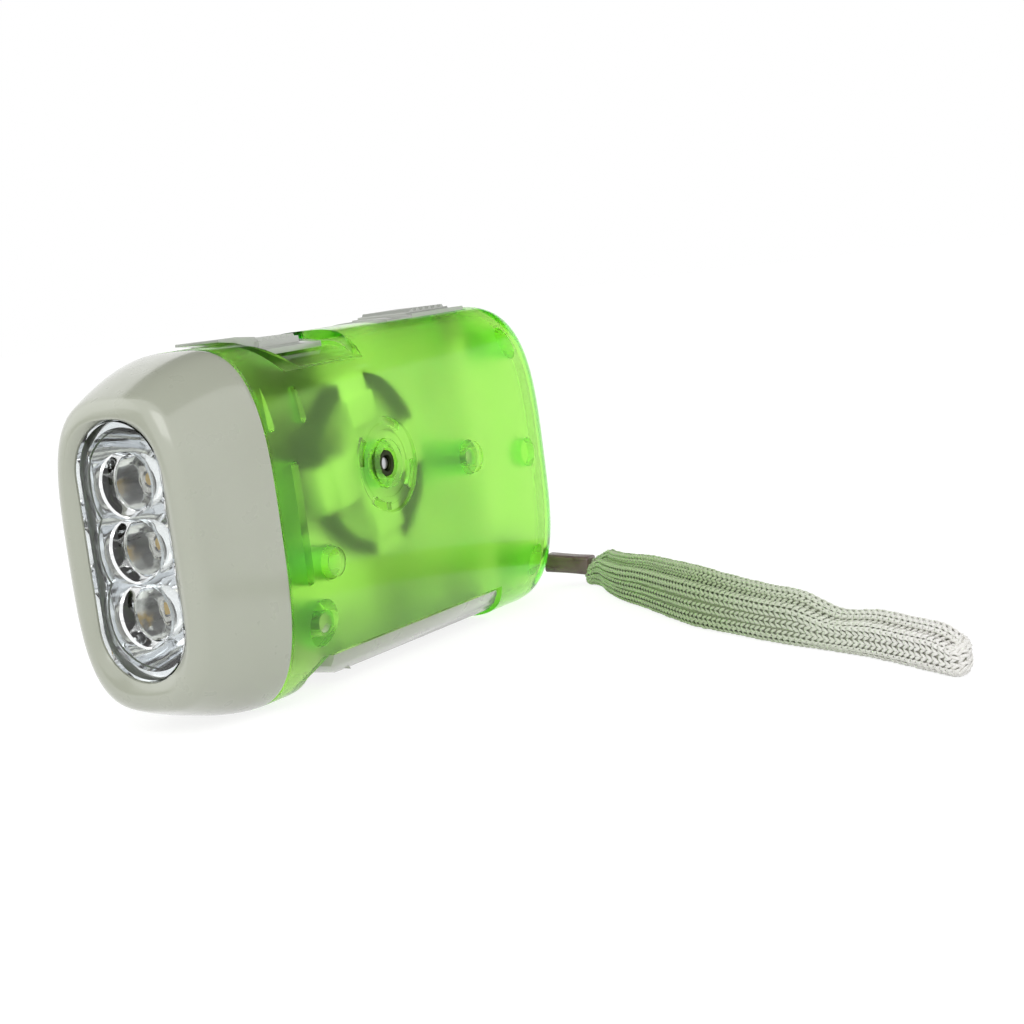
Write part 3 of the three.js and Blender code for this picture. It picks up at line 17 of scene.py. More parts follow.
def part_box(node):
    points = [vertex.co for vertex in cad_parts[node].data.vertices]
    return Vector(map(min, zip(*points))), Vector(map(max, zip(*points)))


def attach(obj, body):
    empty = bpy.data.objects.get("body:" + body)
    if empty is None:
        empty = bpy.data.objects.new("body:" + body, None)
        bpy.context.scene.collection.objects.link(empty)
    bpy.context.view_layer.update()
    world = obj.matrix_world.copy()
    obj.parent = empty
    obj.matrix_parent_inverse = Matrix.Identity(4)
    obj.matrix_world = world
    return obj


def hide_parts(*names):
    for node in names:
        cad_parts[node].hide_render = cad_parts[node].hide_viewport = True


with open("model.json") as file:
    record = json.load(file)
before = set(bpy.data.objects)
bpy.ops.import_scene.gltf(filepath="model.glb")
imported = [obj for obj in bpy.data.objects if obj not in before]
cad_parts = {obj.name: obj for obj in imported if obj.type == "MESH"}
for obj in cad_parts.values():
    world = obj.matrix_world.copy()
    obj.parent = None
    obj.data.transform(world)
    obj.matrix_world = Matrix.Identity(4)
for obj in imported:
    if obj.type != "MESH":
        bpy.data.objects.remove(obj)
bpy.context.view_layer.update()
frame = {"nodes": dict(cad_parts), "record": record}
print("solids in the frame:", len(frame["nodes"]))

# %% [markdown]
# The frame is in metres, while a part this small is easier to read in millimetres. Places could be written
# in the frame itself, with a zero under the middle of the body. They are written instead as x, the
# distance behind the front rim, and the height over the middle, because the body is drawn that way, and
# one function turns them into the frame.

# %% Millimetres and places
MM = 0.001


def corners(node):
    """Lowest and highest corner of a solid, in millimetres."""
    low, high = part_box(node)
    return low / MM, high / MM


body_width = corners("housing_left")[1].x - corners("housing_right")[0].x
body_length = corners("housing_left")[1].y - corners("front_bezel")[0].y
body_height = corners("housing_left")[1].z
half_width = body_width / 2
half_height = body_height / 2


def spot(x, back, rise):
    """A place in the frame, in metres."""
    return Vector((x, back - body_length / 2, rise + half_height)) * MM


print(f"body {body_length:.1f} long, {body_height:.1f} high and {body_width:.1f} wide")

# %% [markdown]
# The camera comes first, because everything else is judged through it. The photographed flashlight is seen
# from its right front corner, a little from above, with the camera rolled a few degrees. A camera can be
# placed by hand until the view fits. Here its place is worked out from these angles and the distance, so
# that each of them can be read.

# %% Camera
view_from = {"azimuth": 31.92, "elevation": 7.17, "roll": -7.45}
view_distance = 317.86
view_shift = (29.08, -2.73)
aim_back = 50
camera_lens = 68.755
camera_sensor = 36
camera_near = 10

azimuth, elevation, roll = (math.radians(view_from[name]) for name in ("azimuth", "elevation", "roll"))
towards_camera = Vector((
    math.sin(azimuth) * math.cos(elevation), -math.cos(azimuth) * math.cos(elevation), math.sin(elevation)))
level_right = Vector((math.cos(azimuth), math.sin(azimuth), 0))
level_up = towards_camera.cross(level_right)
camera_right = level_right * math.cos(roll) + level_up * math.sin(roll)
camera_up = level_up * math.cos(roll) - level_right * math.sin(roll)

camera_data = bpy.data.cameras.new("camera")
camera_data.lens = camera_lens
camera_data.sensor_width = camera_sensor
camera_data.clip_start = camera_near * MM
camera = bpy.data.objects.new("camera", camera_data)
bpy.context.scene.collection.objects.link(camera)
camera_place = spot(0, aim_back, 0) + (
    camera_right * view_shift[0] + camera_up * view_shift[1] + towards_camera * view_distance) * MM
camera_axes = Matrix((camera_right, camera_up, towards_camera)).transposed().to_4x4()
camera.matrix_world = Matrix.Translation(camera_place) @ camera_axes
bpy.context.scene.camera = camera
bpy.context.scene.view_settings.view_transform = "Standard"
print("camera at", [round(v, 3) for v in camera_place])

# %% [markdown]
# Meshes could be modelled by hand in Edit Mode. Here they are made from plain lists of places, so that
# each size can be read and changed. One helper closes such a list into an object whose faces point
# outwards, one joins rings into a loft, and one turns modifiers into plain mesh, because a finished piece
# keeps none.

# %% Mesh helpers
merge_reach = 0.001


def piece_of(name, mesh):
    """A new object for a mesh, in the scene."""
    piece = bpy.data.objects.new(name, mesh)
    bpy.context.scene.collection.objects.link(piece)
    return piece


def solid(name, places, faces):
    """A closed piece from places in millimetres and faces."""
    mesh = bpy.data.meshes.new(name)
    mesh.from_pydata([spot(*place) for place in places], [], faces)
    shape = bmesh.new()
    shape.from_mesh(mesh)
    bmesh.ops.remove_doubles(shape, verts=shape.verts, dist=merge_reach * MM)
    bmesh.ops.recalc_face_normals(shape, faces=shape.faces)
    shape.to_mesh(mesh)
    shape.free()
    return piece_of(name, mesh)


def loft(name, rings, ring_closed=False):
    """Rings of equal length joined in order; either capped at both ends or joined into a closed band."""
    count = len(rings[0])
    places = [place for ring in rings for place in ring]
    faces = []
    for r in range(len(rings) - (0 if ring_closed else 1)):
        near, far = r * count, (r + 1) % len(rings) * count
        for i in range(count):
            j = (i + 1) % count
            faces.append((near + i, near + j, far + j, far + i))
    if not ring_closed:
        faces.append(tuple(range(count)))
        faces.append(tuple(range(len(places) - count, len(places))))
    return solid(name, places, faces)


def plain(piece, *spent):
    """The piece with its modifiers turned into plain mesh. Spent helpers are removed."""
    bpy.context.view_layer.update()
    graph = bpy.context.evaluated_depsgraph_get()
    mesh = bpy.data.meshes.new_from_object(
        piece.evaluated_get(graph), preserve_all_data_layers=True, depsgraph=graph)
    piece.modifiers.clear()
    piece.data = mesh
    for helper in spent:
        bpy.data.objects.remove(helper)
    return piece


def smooth(piece, angle=35):
    """Smooth shading, with edges sharper than an angle kept crisp."""
    piece.data.polygons.foreach_set("use_smooth", [True] * len(piece.data.polygons))
    piece.data.set_sharp_from_angle(angle=math.radians(angle))
    return piece


def turns_of(count, shift=0.0):
    """Evenly spaced angles round a full turn, moved on by a share of one step."""
    return [2 * math.pi * (k + shift) / count for k in range(count)]


def squarish(half_wide, half_tall, power_wide, power_tall, turns):
    """Points on a superellipse, which is an oval with fuller corners the smaller its powers are."""
    points = []
    for turn in turns:
        c, s = math.cos(turn), math.sin(turn)
        points.append((math.copysign(abs(c) ** power_wide, c) * half_wide,
                       math.copysign(abs(s) ** power_tall, s) * half_tall))
    return points


print("meshes are merged within", merge_reach, "mm")

# %% [markdown]
# A material here is the Principled shader with a few texture nodes in front of it. It could be wired by
# hand in the Shader Editor, but helpers keep each recipe short and alike: one makes the material, one adds
# a node and links or sets its inputs by name, and the others wrap what almost every finish needs, such as
# a blend of tones or a grain.

# %% Material helpers
def linear(red, green, blue):
    """A colour as it is seen on a screen, 0 to 255, turned into the light values that a shader works with."""
    values = [channel / 255 for channel in (red, green, blue)]
    return (*[v / 12.92 if v <= 0.04045 else ((v + 0.055) / 1.055) ** 2.4 for v in values], 1)


def finish_of(name, colour, roughness, **sockets):
    """A Principled material. Other sockets are given by name, with an underscore for each space."""
    finish = bpy.data.materials.new(name)
    finish.use_nodes = True
    shader = finish.node_tree.nodes["Principled BSDF"]
    shader.inputs["Base Color"].default_value = linear(*colour)
    shader.inputs["Roughness"].default_value = roughness
    for socket, value in sockets.items():
        shader.inputs[socket.replace("_", " ")].default_value = value
    return finish


def add_node(finish, kind, settings=None, **inputs):
    """A new node. Settings are its own options; an input is a value or the output of another node."""
    node = finish.node_tree.nodes.new("ShaderNode" + kind)
    for option, value in (settings or {}).items():
        setattr(node, option, value)
    for name, value in inputs.items():
        key = int(name[1:]) if name[0] == "_" else name.replace("_", " ")
        if isinstance(value, bpy.types.NodeSocket):
            finish.node_tree.links.new(value, node.inputs[key])
        else:
            node.inputs[key].default_value = value
    return node


def drive(finish, socket, output):
    """Links an output to a socket of the material's main shader."""
    finish.node_tree.links.new(output, finish.node_tree.nodes["Principled BSDF"].inputs[socket])


def object_places(finish):
    """The piece's own coordinates, in metres."""
    return add_node(finish, "TexCoord").outputs["Object"]


def spread(finish, texture, low, high, start=0.35, end=0.65):
    """Stretches the middle of a texture's range to run from one value to another."""
    span = add_node(finish, "MapRange", Value=texture, From_Min=start, From_Max=end, To_Min=low, To_Max=high)
    return span.outputs["Result"]


def tint(finish, texture, first, second):
    """A blend of two screen colours by a value."""
    blend = add_node(finish, "Mix", {"data_type": "RGBA"}, _0=texture, _6=linear(*first), _7=linear(*second))
    return blend.outputs[2]


def grain(finish, size, depth, strength=1.0):
    """Fine even relief: grains of a size and depth in millimetres."""
    noise = add_node(finish, "TexNoise", Vector=object_places(finish), Scale=1 / (size * MM), Detail=3.0)
    bump = add_node(finish, "Bump", Height=noise.outputs["Fac"], Strength=strength, Distance=depth * MM)
    drive(finish, "Normal", bump.outputs["Normal"])
    return noise.outputs["Fac"]


def let_lamps_through(finish, colour):
    """Lets the lamps' rays straight through clear plastic, so that they light what it encloses."""
    nodes, links = finish.node_tree.nodes, finish.node_tree.links
    shader = nodes["Principled BSDF"].outputs[0]
    open_way = add_node(finish, "BsdfTransparent", Color=colour)
    rays = add_node(finish, "LightPath")
    choice = add_node(finish, "MixShader", _0=rays.outputs["Is Shadow Ray"], _1=shader,
                      _2=open_way.outputs[0])
    links.new(choice.outputs[0], nodes["Material Output"].inputs["Surface"])


body_of_node = {
    node: body for body, nodes in frame["record"]["behaviour"]["bodies"].items() for node in nodes}


def coat_with(piece, finish):
    """Gives a piece one material alone."""
    piece.data.materials.clear()
    piece.data.materials.append(finish)


def dress(piece, finish, node):
    """Gives a finished piece its material, and lets it stand for a solid and move with its body."""
    coat_with(piece, finish)
    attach(piece, body_of_node[node])
    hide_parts(node)
    print(f"{piece.name}: {len(piece.data.polygons)} faces, for {node}")


# %% [markdown]
# The wrist strap is a knitted webbing, about 230 mm long and folded double, that lies on edge on the
# table. A thin cord loop ties it to the tail, and a dark metal crimp holds its two ends. Cloth simulation
# could drop it on the table, but the photograph shows its whole lie. So the route is a list of given places,
# each with the height of the webbing there, and a smooth curve runs through them.

# %% Route of the strap
strap_stretches = [
    (13.4, 107.1, 3.6), (15.7, 106.5, 4.6), (18.9, 103.7, 5.9), (22.6, 98.8, 6.4), (29.5, 91.2, 7.2),
    (36.6, 85.1, 7.9), (45, 77.2, 8.4), (52.8, 70.2, 8.7), (59, 66, 8.2), (65, 62.4, 7.7), (71, 58.6, 7.4),
    (77.2, 55.2, 7.1), (84.1, 51.9, 5), (91.2, 47.9, 5.6), (97.8, 43.4, 5.5), (103.5, 39.2, 5.4),
    (106.5, 37.2, 4.3)]
strap_lift = 0.55
strap_points = 120
curve_steps = 12
strap_floor = -half_height + strap_lift
strap_route = [(x, back, strap_floor + height / 2) for x, back, height in strap_stretches]


def through(places, count):
    """Evenly spaced points on a smooth curve through places, by the Catmull-Rom rule."""
    ends = [places[0], *places, places[-1]]
    fine = []
    for before, start, end, after in zip(ends, ends[1:], ends[2:], ends[3:]):
        for step in range(curve_steps):
            t = step / curve_steps
            fine.append(Vector([
                0.5 * (2 * b + (c - a) * t + (2 * a - 5 * b + 4 * c - d) * t ** 2 +
                       (3 * b - a - 3 * c + d) * t ** 3)
                for a, b, c, d in zip(before, start, end, after)]))
    fine.append(Vector(places[-1]))
    return evenly(fine, count)


def evenly(line, count):
    """Points at equal distances along a line of points."""
    marks = [0.0]
    for a, b in zip(line, line[1:]):
        marks.append(marks[-1] + (b - a).length)
    spaced, at = [], 0
    for k in range(count):
        goal = marks[-1] * k / (count - 1)
        while at < len(line) - 2 and marks[at + 1] < goal:
            at += 1
        share = (goal - marks[at]) / max(marks[at + 1] - marks[at], 1e-9)
        spaced.append(line[at].lerp(line[at + 1], min(max(share, 0), 1)))
    return spaced


strap_line = through(
    [(*place, stretch[2]) for place, stretch in zip(strap_route, strap_stretches)], strap_points)

# %% [markdown]
# The two legs of the webbing run side by side and turn round at the fold. The knitting could be a bump on
# a smooth ribbon, but its outline is ragged with stitches, so they are real. This guide sheet is a closed
# sleeve round the webbing, whose cells each carry one stitch, with a column for each wale of the knitting
# and a row for each course.

# %% Guide sheet for the knitting
leg_offset = 0.86
leg_thickness = 1.6
leg_height_share = 0.76
course = 1.3
wales = 5
fold_steps = 6


def strap_frames():
    """Centre, outward direction and height of the webbing, out along one leg and back along the other."""
    frames = []
    for side in (-1, 1):
        leg = []
        for i, here in enumerate(strap_line):
            ahead = strap_line[min(i + 1, len(strap_line) - 1)].xyz - strap_line[max(i - 1, 0)].xyz
            across = Vector((0, 0, 1)).cross(ahead).normalized() * side
            height = here.w * leg_height_share
            shift = (here.w - height) / 2 * side
            leg.append((here.xyz + across * leg_offset + Vector((0, 0, shift)), across, height))
        frames.append(leg)
    near, far = frames
    tip, outward, height = near[-1]
    ahead = (strap_line[-1].xyz - strap_line[-2].xyz).normalized()
    fold = []
    for step in range(1, fold_steps):
        turn = math.pi * step / fold_steps
        direction = outward * math.cos(turn) + ahead * math.sin(turn)
        middle = strap_line[-1].xyz + direction * leg_offset
        middle.z += (near[-1][0].z - strap_line[-1].z) * math.cos(turn)
        fold.append((middle, direction, height))
    return near + fold + far[::-1]


strap_frames_list = strap_frames()
strap_run = sum((b[0] - a[0]).length for a, b in zip(strap_frames_list, strap_frames_list[1:]))
courses = round(strap_run / course)


def frame_at(share):
    """The webbing's frame at a share of its whole run."""
    position = share * (len(strap_frames_list) - 1)
    low = min(int(position), len(strap_frames_list) - 2)
    first, second = strap_frames_list[low], strap_frames_list[low + 1]
    part = position - low
    return (first[0].lerp(second[0], part), first[1].lerp(second[1], part).normalized(),
            first[2] + (second[2] - first[2]) * part)


def webbing_ring(row, share, powers, turns):
    """One section of the webbing at a course, at a share of its full size."""
    middle, outward, height = frame_at(row / courses)
    return [middle + outward * out + Vector((0, 0, up)) for out, up in squarish(
        leg_thickness / 2 * share, height / 2 * share, *powers, turns)]


guide_columns = 2 * wales + 2
guide_powers = (0.45, 0.75)
guide_turns = [turn - math.pi / 2 for turn in turns_of(guide_columns, 0.5)]
guide_places, guide_faces = [], []
for row in range(courses + 1):
    guide_places += webbing_ring(row, 1, guide_powers, guide_turns)
for row in range(courses):
    for column in range(guide_columns):
        here, beside = row * guide_columns + column, row * guide_columns + (column + 1) % guide_columns
        guide_faces.append((here, here + guide_columns, beside + guide_columns, beside))
guide_mesh = bpy.data.meshes.new("webbing_guide")
guide_mesh.from_pydata([spot(*place) for place in guide_places], [], guide_faces)
guide_along = guide_mesh.attributes.new("along", "FLOAT_VECTOR", "FACE")
for face in guide_mesh.polygons:
    row = face.index // guide_columns
    ahead = frame_at((row + 1) / courses)[0] - frame_at(row / courses)[0]
    guide_along.data[face.index].vector = ahead.normalized()
webbing_guide = piece_of("webbing_guide", guide_mesh)
print(f"{courses} courses of {guide_columns} stitches")

# %% [markdown]
# One stitch is a V of two plump yarns. It could be an array of curves, but hundreds of stitches need a
# light shape. So it is made once, as a mesh of a few dozen faces in a cell of size 1. A plain ribbon, a
# little smaller than the webbing, closes the gaps between the stitches.

# %% One stitch and the ribbon under it
def yarn(start, end, width, bulge, sides=4, steps=3):
    """A plump tapered yarn between two points of the unit cell."""
    start, end = Vector(start), Vector(end)
    ahead = (end - start).normalized()
    across = ahead.cross(Vector((0, 0, 1))).normalized()
    rings = []
    for step in range(steps + 1):
        share = step / steps
        middle = start.lerp(end, share) + Vector((0, 0, bulge * math.sin(math.pi * share)))
        radius = width * (0.45 + 0.55 * math.sin(math.pi * share))
        rings.append([
            middle + across * radius * math.cos(2 * math.pi * (k + 0.5) / sides) * 1.2 +
            Vector((0, 0, radius * 0.9 * math.sin(2 * math.pi * (k + 0.5) / sides))) for k in range(sides)])
    return rings


stitch_top = (0.47, 0.62)
stitch_foot = (0.04, -0.5)
yarn_width = 0.21
yarn_bulge = 0.16
stitch_mesh = bpy.data.meshes.new("stitch")
stitch_shape = bmesh.new()
for side in (-1, 1):
    rings = [[stitch_shape.verts.new(p) for p in ring] for ring in yarn(
        (stitch_top[0] * side, stitch_top[1], 0), (stitch_foot[0] * side, stitch_foot[1], 0),
        yarn_width, yarn_bulge)]
    for near_ring, far_ring in zip(rings, rings[1:]):
        for i in range(len(near_ring)):
            j = (i + 1) % len(near_ring)
            stitch_shape.faces.new((near_ring[i], near_ring[j], far_ring[j], far_ring[i]))
    stitch_shape.faces.new(rings[0])
    stitch_shape.faces.new(rings[-1])
bmesh.ops.recalc_face_normals(stitch_shape, faces=stitch_shape.faces)
stitch_shape.to_mesh(stitch_mesh)
stitch_shape.free()
stitch_mesh.polygons.foreach_set("use_smooth", [True] * len(stitch_mesh.polygons))
stitch_raised = stitch_mesh.attributes.new("raised", "FLOAT", "POINT")
stitch_raised.data.foreach_set("value", [1.0] * len(stitch_mesh.vertices))
stitch = piece_of("stitch", stitch_mesh)

ribbon_share = 0.86
ribbon_powers = (0.6, 0.6)
ribbon_turns = turns_of(16, 0.5)
webbing_ribbon = smooth(loft("webbing_ribbon", [
    webbing_ring(row, ribbon_share, ribbon_powers, ribbon_turns) for row in range(courses + 1)]), 60)
print("stitch faces:", len(stitch_mesh.polygons), "ribbon faces:", len(webbing_ribbon.data.polygons))

# %% [markdown]
# The yarn is a dull white polyester with a little sheen. The photograph shows it green where it lies near
# the see-through body, because green light falls on it there. Only a little of that light comes by itself
# in a render, so the colour carries the rest, by a blend along x. The ground between the stitches is
# painted darker, for the shade that falls in the gaps between them.

# %% Yarn
yarn_finish = finish_of("knitted_yarn", (222, 222, 212), 0.7, Sheen_Weight=0.3, Sheen_Roughness=0.4)
yarn_places = object_places(yarn_finish)
fibres = add_node(yarn_finish, "TexNoise", Vector=yarn_places, Scale=4200.0, Detail=4.0)
yarn_tones = tint(
    yarn_finish, spread(yarn_finish, fibres.outputs["Fac"], 0, 1), (240, 238, 232), (254, 253, 250))
yarn_raised = add_node(yarn_finish, "Attribute", {"attribute_name": "raised"}).outputs["Fac"]
# Painted shade: the ribbon between the stitches, where raised is 0, gets a darker grey than the yarn.
yarn_with_gap_shade = add_node(
    yarn_finish, "Mix", {"data_type": "RGBA"}, _0=yarn_raised, _6=linear(190, 190, 178), _7=yarn_tones)
apart = add_node(yarn_finish, "SeparateXYZ", Vector=yarn_places)
green_fades = (55, 100)
near_body = spread(yarn_finish, apart.outputs["X"], 0.85, 0, green_fades[0] * MM, green_fades[1] * MM)
yarn_colour = add_node(
    yarn_finish, "Mix", {"data_type": "RGBA", "blend_type": "MULTIPLY"},
    _0=near_body, _6=yarn_with_gap_shade.outputs[2], _7=linear(186, 208, 160))
drive(yarn_finish, "Base Color", yarn_colour.outputs[2])
yarn_bump = add_node(yarn_finish, "Bump", Height=fibres.outputs["Fac"], Strength=0.5, Distance=0.05 * MM)
drive(yarn_finish, "Normal", yarn_bump.outputs["Normal"])
print("yarn:", yarn_finish.name)

# %% [markdown]
# Laying hundreds of stitches is work for Geometry Nodes. An array on a curve could do it too, but it can't
# turn each stitch to its own cell. The tree makes a point at every cell of the guide sheet, puts a stitch
# there that faces out and runs along the webbing, joins the ribbon, and ends as real mesh with its
# material.

# %% Geometry Nodes that lay the stitches
def tree_of(name, inputs):
    """A new Geometry Nodes tree with a geometry input and named inputs, and the nodes at its two ends."""
    tree = bpy.data.node_groups.new(name, "GeometryNodeTree")
    tree.interface.new_socket("Geometry", in_out="INPUT", socket_type="NodeSocketGeometry")
    for label, kind, value in inputs:
        socket = tree.interface.new_socket(label, in_out="INPUT", socket_type="NodeSocket" + kind)
        if value is not None:
            socket.default_value = value
    tree.interface.new_socket("Geometry", in_out="OUTPUT", socket_type="NodeSocketGeometry")
    return tree, tree.nodes.new("NodeGroupInput"), tree.nodes.new("NodeGroupOutput")


def set_inputs(modifier, **values):
    """Sets a modifier's named inputs by the identifiers of their sockets."""
    for item in modifier.node_group.interface.items_tree:
        key = item.name.replace(" ", "_")
        if item.in_out == "INPUT" and key in values:
            modifier[item.identifier] = values[key]


knit, knit_in, knit_out = tree_of("knit_webbing", [
    ("Stitch", "Object", None), ("Ribbon", "Object", None), ("Course", "Float", MM), ("Wale", "Float", MM),
    ("Relief", "Float", MM), ("Yarn", "Material", None), ("Seed", "Int", 0)])
stitch_least, stitch_most = 0.92, 1.08
knit_links = knit.links
cells = knit.nodes.new("GeometryNodeMeshToPoints")
cells.mode = "FACES"
normal = knit.nodes.new("GeometryNodeInputNormal")
facing = knit.nodes.new("GeometryNodeCaptureAttribute")
facing.domain = "FACE"
facing.capture_items.new("VECTOR", "Facing")
along = knit.nodes.new("GeometryNodeInputNamedAttribute")
along.data_type = "FLOAT_VECTOR"
along.inputs["Name"].default_value = "along"
turn_to = knit.nodes.new("FunctionNodeAxesToRotation")
turn_to.primary_axis = "Z"
turn_to.secondary_axis = "Y"
size = knit.nodes.new("ShaderNodeCombineXYZ")
jitter = knit.nodes.new("FunctionNodeRandomValue")
jitter.data_type = "FLOAT"
jitter.inputs[2].default_value = stitch_least
jitter.inputs[3].default_value = stitch_most
stitch_info = knit.nodes.new("GeometryNodeObjectInfo")
ribbon_info = knit.nodes.new("GeometryNodeObjectInfo")
lay = knit.nodes.new("GeometryNodeInstanceOnPoints")
scaled = knit.nodes.new("ShaderNodeVectorMath")
scaled.operation = "SCALE"
realize = knit.nodes.new("GeometryNodeRealizeInstances")
together = knit.nodes.new("GeometryNodeJoinGeometry")
coat = knit.nodes.new("GeometryNodeSetMaterial")
for source, target in [
        (knit_in.outputs["Geometry"], facing.inputs["Geometry"]),
        (normal.outputs["Normal"], facing.inputs["Facing"]),
        (facing.outputs["Geometry"], cells.inputs["Mesh"]),
        (cells.outputs["Points"], lay.inputs["Points"]),
        (facing.outputs["Facing"], turn_to.inputs["Primary Axis"]),
        (along.outputs["Attribute"], turn_to.inputs["Secondary Axis"]),
        (turn_to.outputs["Rotation"], lay.inputs["Rotation"]),
        (knit_in.outputs["Stitch"], stitch_info.inputs["Object"]),
        (stitch_info.outputs["Geometry"], lay.inputs["Instance"]),
        (knit_in.outputs["Wale"], size.inputs["X"]),
        (knit_in.outputs["Course"], size.inputs["Y"]),
        (knit_in.outputs["Relief"], size.inputs["Z"]),
        (knit_in.outputs["Seed"], jitter.inputs["Seed"]),
        (size.outputs["Vector"], scaled.inputs[0]),
        (jitter.outputs[1], scaled.inputs["Scale"]),
        (scaled.outputs["Vector"], lay.inputs["Scale"]),
        (lay.outputs["Instances"], together.inputs["Geometry"]),
        (knit_in.outputs["Ribbon"], ribbon_info.inputs["Object"]),
        (ribbon_info.outputs["Geometry"], together.inputs["Geometry"]),
        (together.outputs["Geometry"], realize.inputs["Geometry"]),
        (realize.outputs["Geometry"], coat.inputs["Geometry"]),
        (knit_in.outputs["Yarn"], coat.inputs["Material"]),
        (coat.outputs["Geometry"], knit_out.inputs["Geometry"])]:
    knit_links.new(source, target)

print("nodes in the knitting tree:", len(knit.nodes))

# %% [markdown]
# The tree now gets its sizes. A stitch is a little wider than its cell, because neighbours in real knitting
# press on each other. The numbers could sit inside the tree, but as named inputs they can be tried out
# without touching it.

# %% The knitting itself
wale_width = 1.35
stitch_relief = 0.85
knitting = webbing_guide.modifiers.new("knitting", "NODES")
knitting.node_group = knit
set_inputs(knitting, Stitch=stitch, Ribbon=webbing_ribbon, Course=course * MM, Wale=wale_width * MM,
           Relief=stitch_relief * MM, Yarn=yarn_finish, Seed=4)
strap = plain(webbing_guide, stitch, webbing_ribbon)
strap.name = "strap_webbing"
print("strap faces:", len(strap.data.polygons))

# %% [markdown]
# The crimp is a short sleeve of dark metal, pressed flat round the ends of the webbing. A scaled box with
# a bevel would be near it, but its lips are a little wider than its middle. So it is a loft of squarish
# rings, each at its share of the length and with its share of the full size.

# %% Crimp
crimp_ends = (Vector((5.2, 106.2, -22.4)), Vector((13.7, 107.1, -23.4)))
crimp_height = 3.4
crimp_width = 4
crimp_power = 0.4
crimp_turns = turns_of(48, 0.5)
crimp_shares = [(0, 0.7), (0, 0.9), (0.01, 0.97), (0.03, 1), (0.3, 0.97), (0.5, 0.96), (0.7, 0.97),
                (0.97, 1), (0.99, 0.97), (1, 0.9), (1, 0.7)]
crimp_ahead = (crimp_ends[1] - crimp_ends[0]).normalized()
crimp_across = Vector((0, 0, 1)).cross(crimp_ahead).normalized()
crimp_up = crimp_ahead.cross(crimp_across).normalized()


def crimp_ring(along_share, size_share):
    """One section of the crimp, at a share of its length and of its full size."""
    middle = crimp_ends[0].lerp(crimp_ends[1], along_share)
    return [middle + crimp_across * u + crimp_up * v for u, v in squarish(
        crimp_width / 2 * size_share, crimp_height / 2 * size_share, crimp_power, crimp_power, crimp_turns)]


crimp = smooth(loft("crimp_sleeve", [crimp_ring(*shares) for shares in crimp_shares]), 50)

crimp_finish = finish_of("dark_crimp_metal", (110, 90, 88), 0.4, Coat_Weight=0.2)
crimp_wear = add_node(
    crimp_finish, "TexNoise", Vector=object_places(crimp_finish), Scale=300.0, Detail=2.0).outputs["Fac"]
drive(crimp_finish, "Base Color",
      tint(crimp_finish, spread(crimp_finish, crimp_wear, 0, 1), (100, 80, 79), (119, 99, 96)))
drive(crimp_finish, "Roughness", spread(crimp_finish, crimp_wear, 0.24, 0.36))
dress(crimp, crimp_finish, "strap_crimp")

# %% [markdown]
# The loop is a thin braided cord that goes through the eye in the tail and round the screw boss behind it.
# A curve with a bevel would make such a tube too. Here its rings are worked out one by one, each carried
# along from the one before, so that the tube doesn't twist, and a diagonal wave draws its braid.

# %% Loop
loop_route = [
    (4.2, 105.4, -21.4), (2.7, 102.8, -20.1), (1.4, 99.4, -18.2), (1.1, 95.6, -16.2), (1.1, 92.4, -15.1),
    (1.1, 89.5, -14.8), (1.1, 86.9, -15.7), (1.1, 85.75, -18.4), (1.1, 86.8, -21.1), (1.1, 89.5, -22.2),
    (1.1, 92.6, -21.8), (1.1, 95.9, -21), (1.5, 99.6, -21), (2.8, 103, -22), (4.2, 105.6, -23)]
loop_radius = 0.6
loop_sides = 14
loop_line = through(loop_route, 90)


def tube(name, line, radius, sides):
    """A round tube along points, with a frame that is carried along so that it doesn't twist."""
    rings, side = [], None
    for i, here in enumerate(line):
        ahead = (line[min(i + 1, len(line) - 1)] - line[max(i - 1, 0)]).normalized()
        side = side or ahead.cross(Vector((0, 0, 1))).normalized()
        side = (side - ahead * side.dot(ahead)).normalized()
        other = ahead.cross(side)
        rings.append([here + (side * math.cos(turn) + other * math.sin(turn)) * radius
                      for turn in turns_of(sides)])
    return smooth(loft(name, rings), 60)


loop = tube("loop_cord", loop_line, loop_radius, loop_sides)
loop_finish = finish_of("braided_loop", (58, 54, 50), 0.6, Sheen_Weight=0.2)
loop_braid = add_node(loop_finish, "TexWave", {"bands_direction": "DIAGONAL"},
                      Vector=object_places(loop_finish), Scale=330.0, Distortion=1.5)
drive(loop_finish, "Base Color",
      tint(loop_finish, loop_braid.outputs["Fac"], (40, 38, 35), (92, 88, 80)))
loop_bump = add_node(loop_finish, "Bump", Height=loop_braid.outputs["Fac"], Strength=0.7, Distance=0.12 * MM)
drive(loop_finish, "Normal", loop_bump.outputs["Normal"])
dress(loop, loop_finish, "strap_loop")

# %% [markdown]
# The knitted strap gets the yarn's finish, stands for the strap's solid and moves with its body.

# %% Dressing the strap
dress(strap, yarn_finish, "wrist_strap")

# %% [markdown]
# The table and the room are plain white. More light would whiten them, but would bleach the object too. So
# the table glows evenly for the camera, for reflections and for what is seen through clear plastic, and a
# small share of it is matt, so that a faint soft shadow stays. Two large soft lamps and the pale room
# light the object at a plain level.

# %% Floor, room and lamps
shadow_share = 0.3
white_margin = 1.2
floor_size = 3.0
floor_mesh = bpy.data.meshes.new("table")
sheet_corners = ((-1, -1), (1, -1), (1, 1), (-1, 1))
floor_mesh.from_pydata([(x * floor_size, y * floor_size, 0) for x, y in sheet_corners], [], [(0, 1, 2, 3)])
table = piece_of("table", floor_mesh)
table_finish = bpy.data.materials.new("white_table")
table_finish.use_nodes = True
table_finish.node_tree.nodes.remove(table_finish.node_tree.nodes["Principled BSDF"])


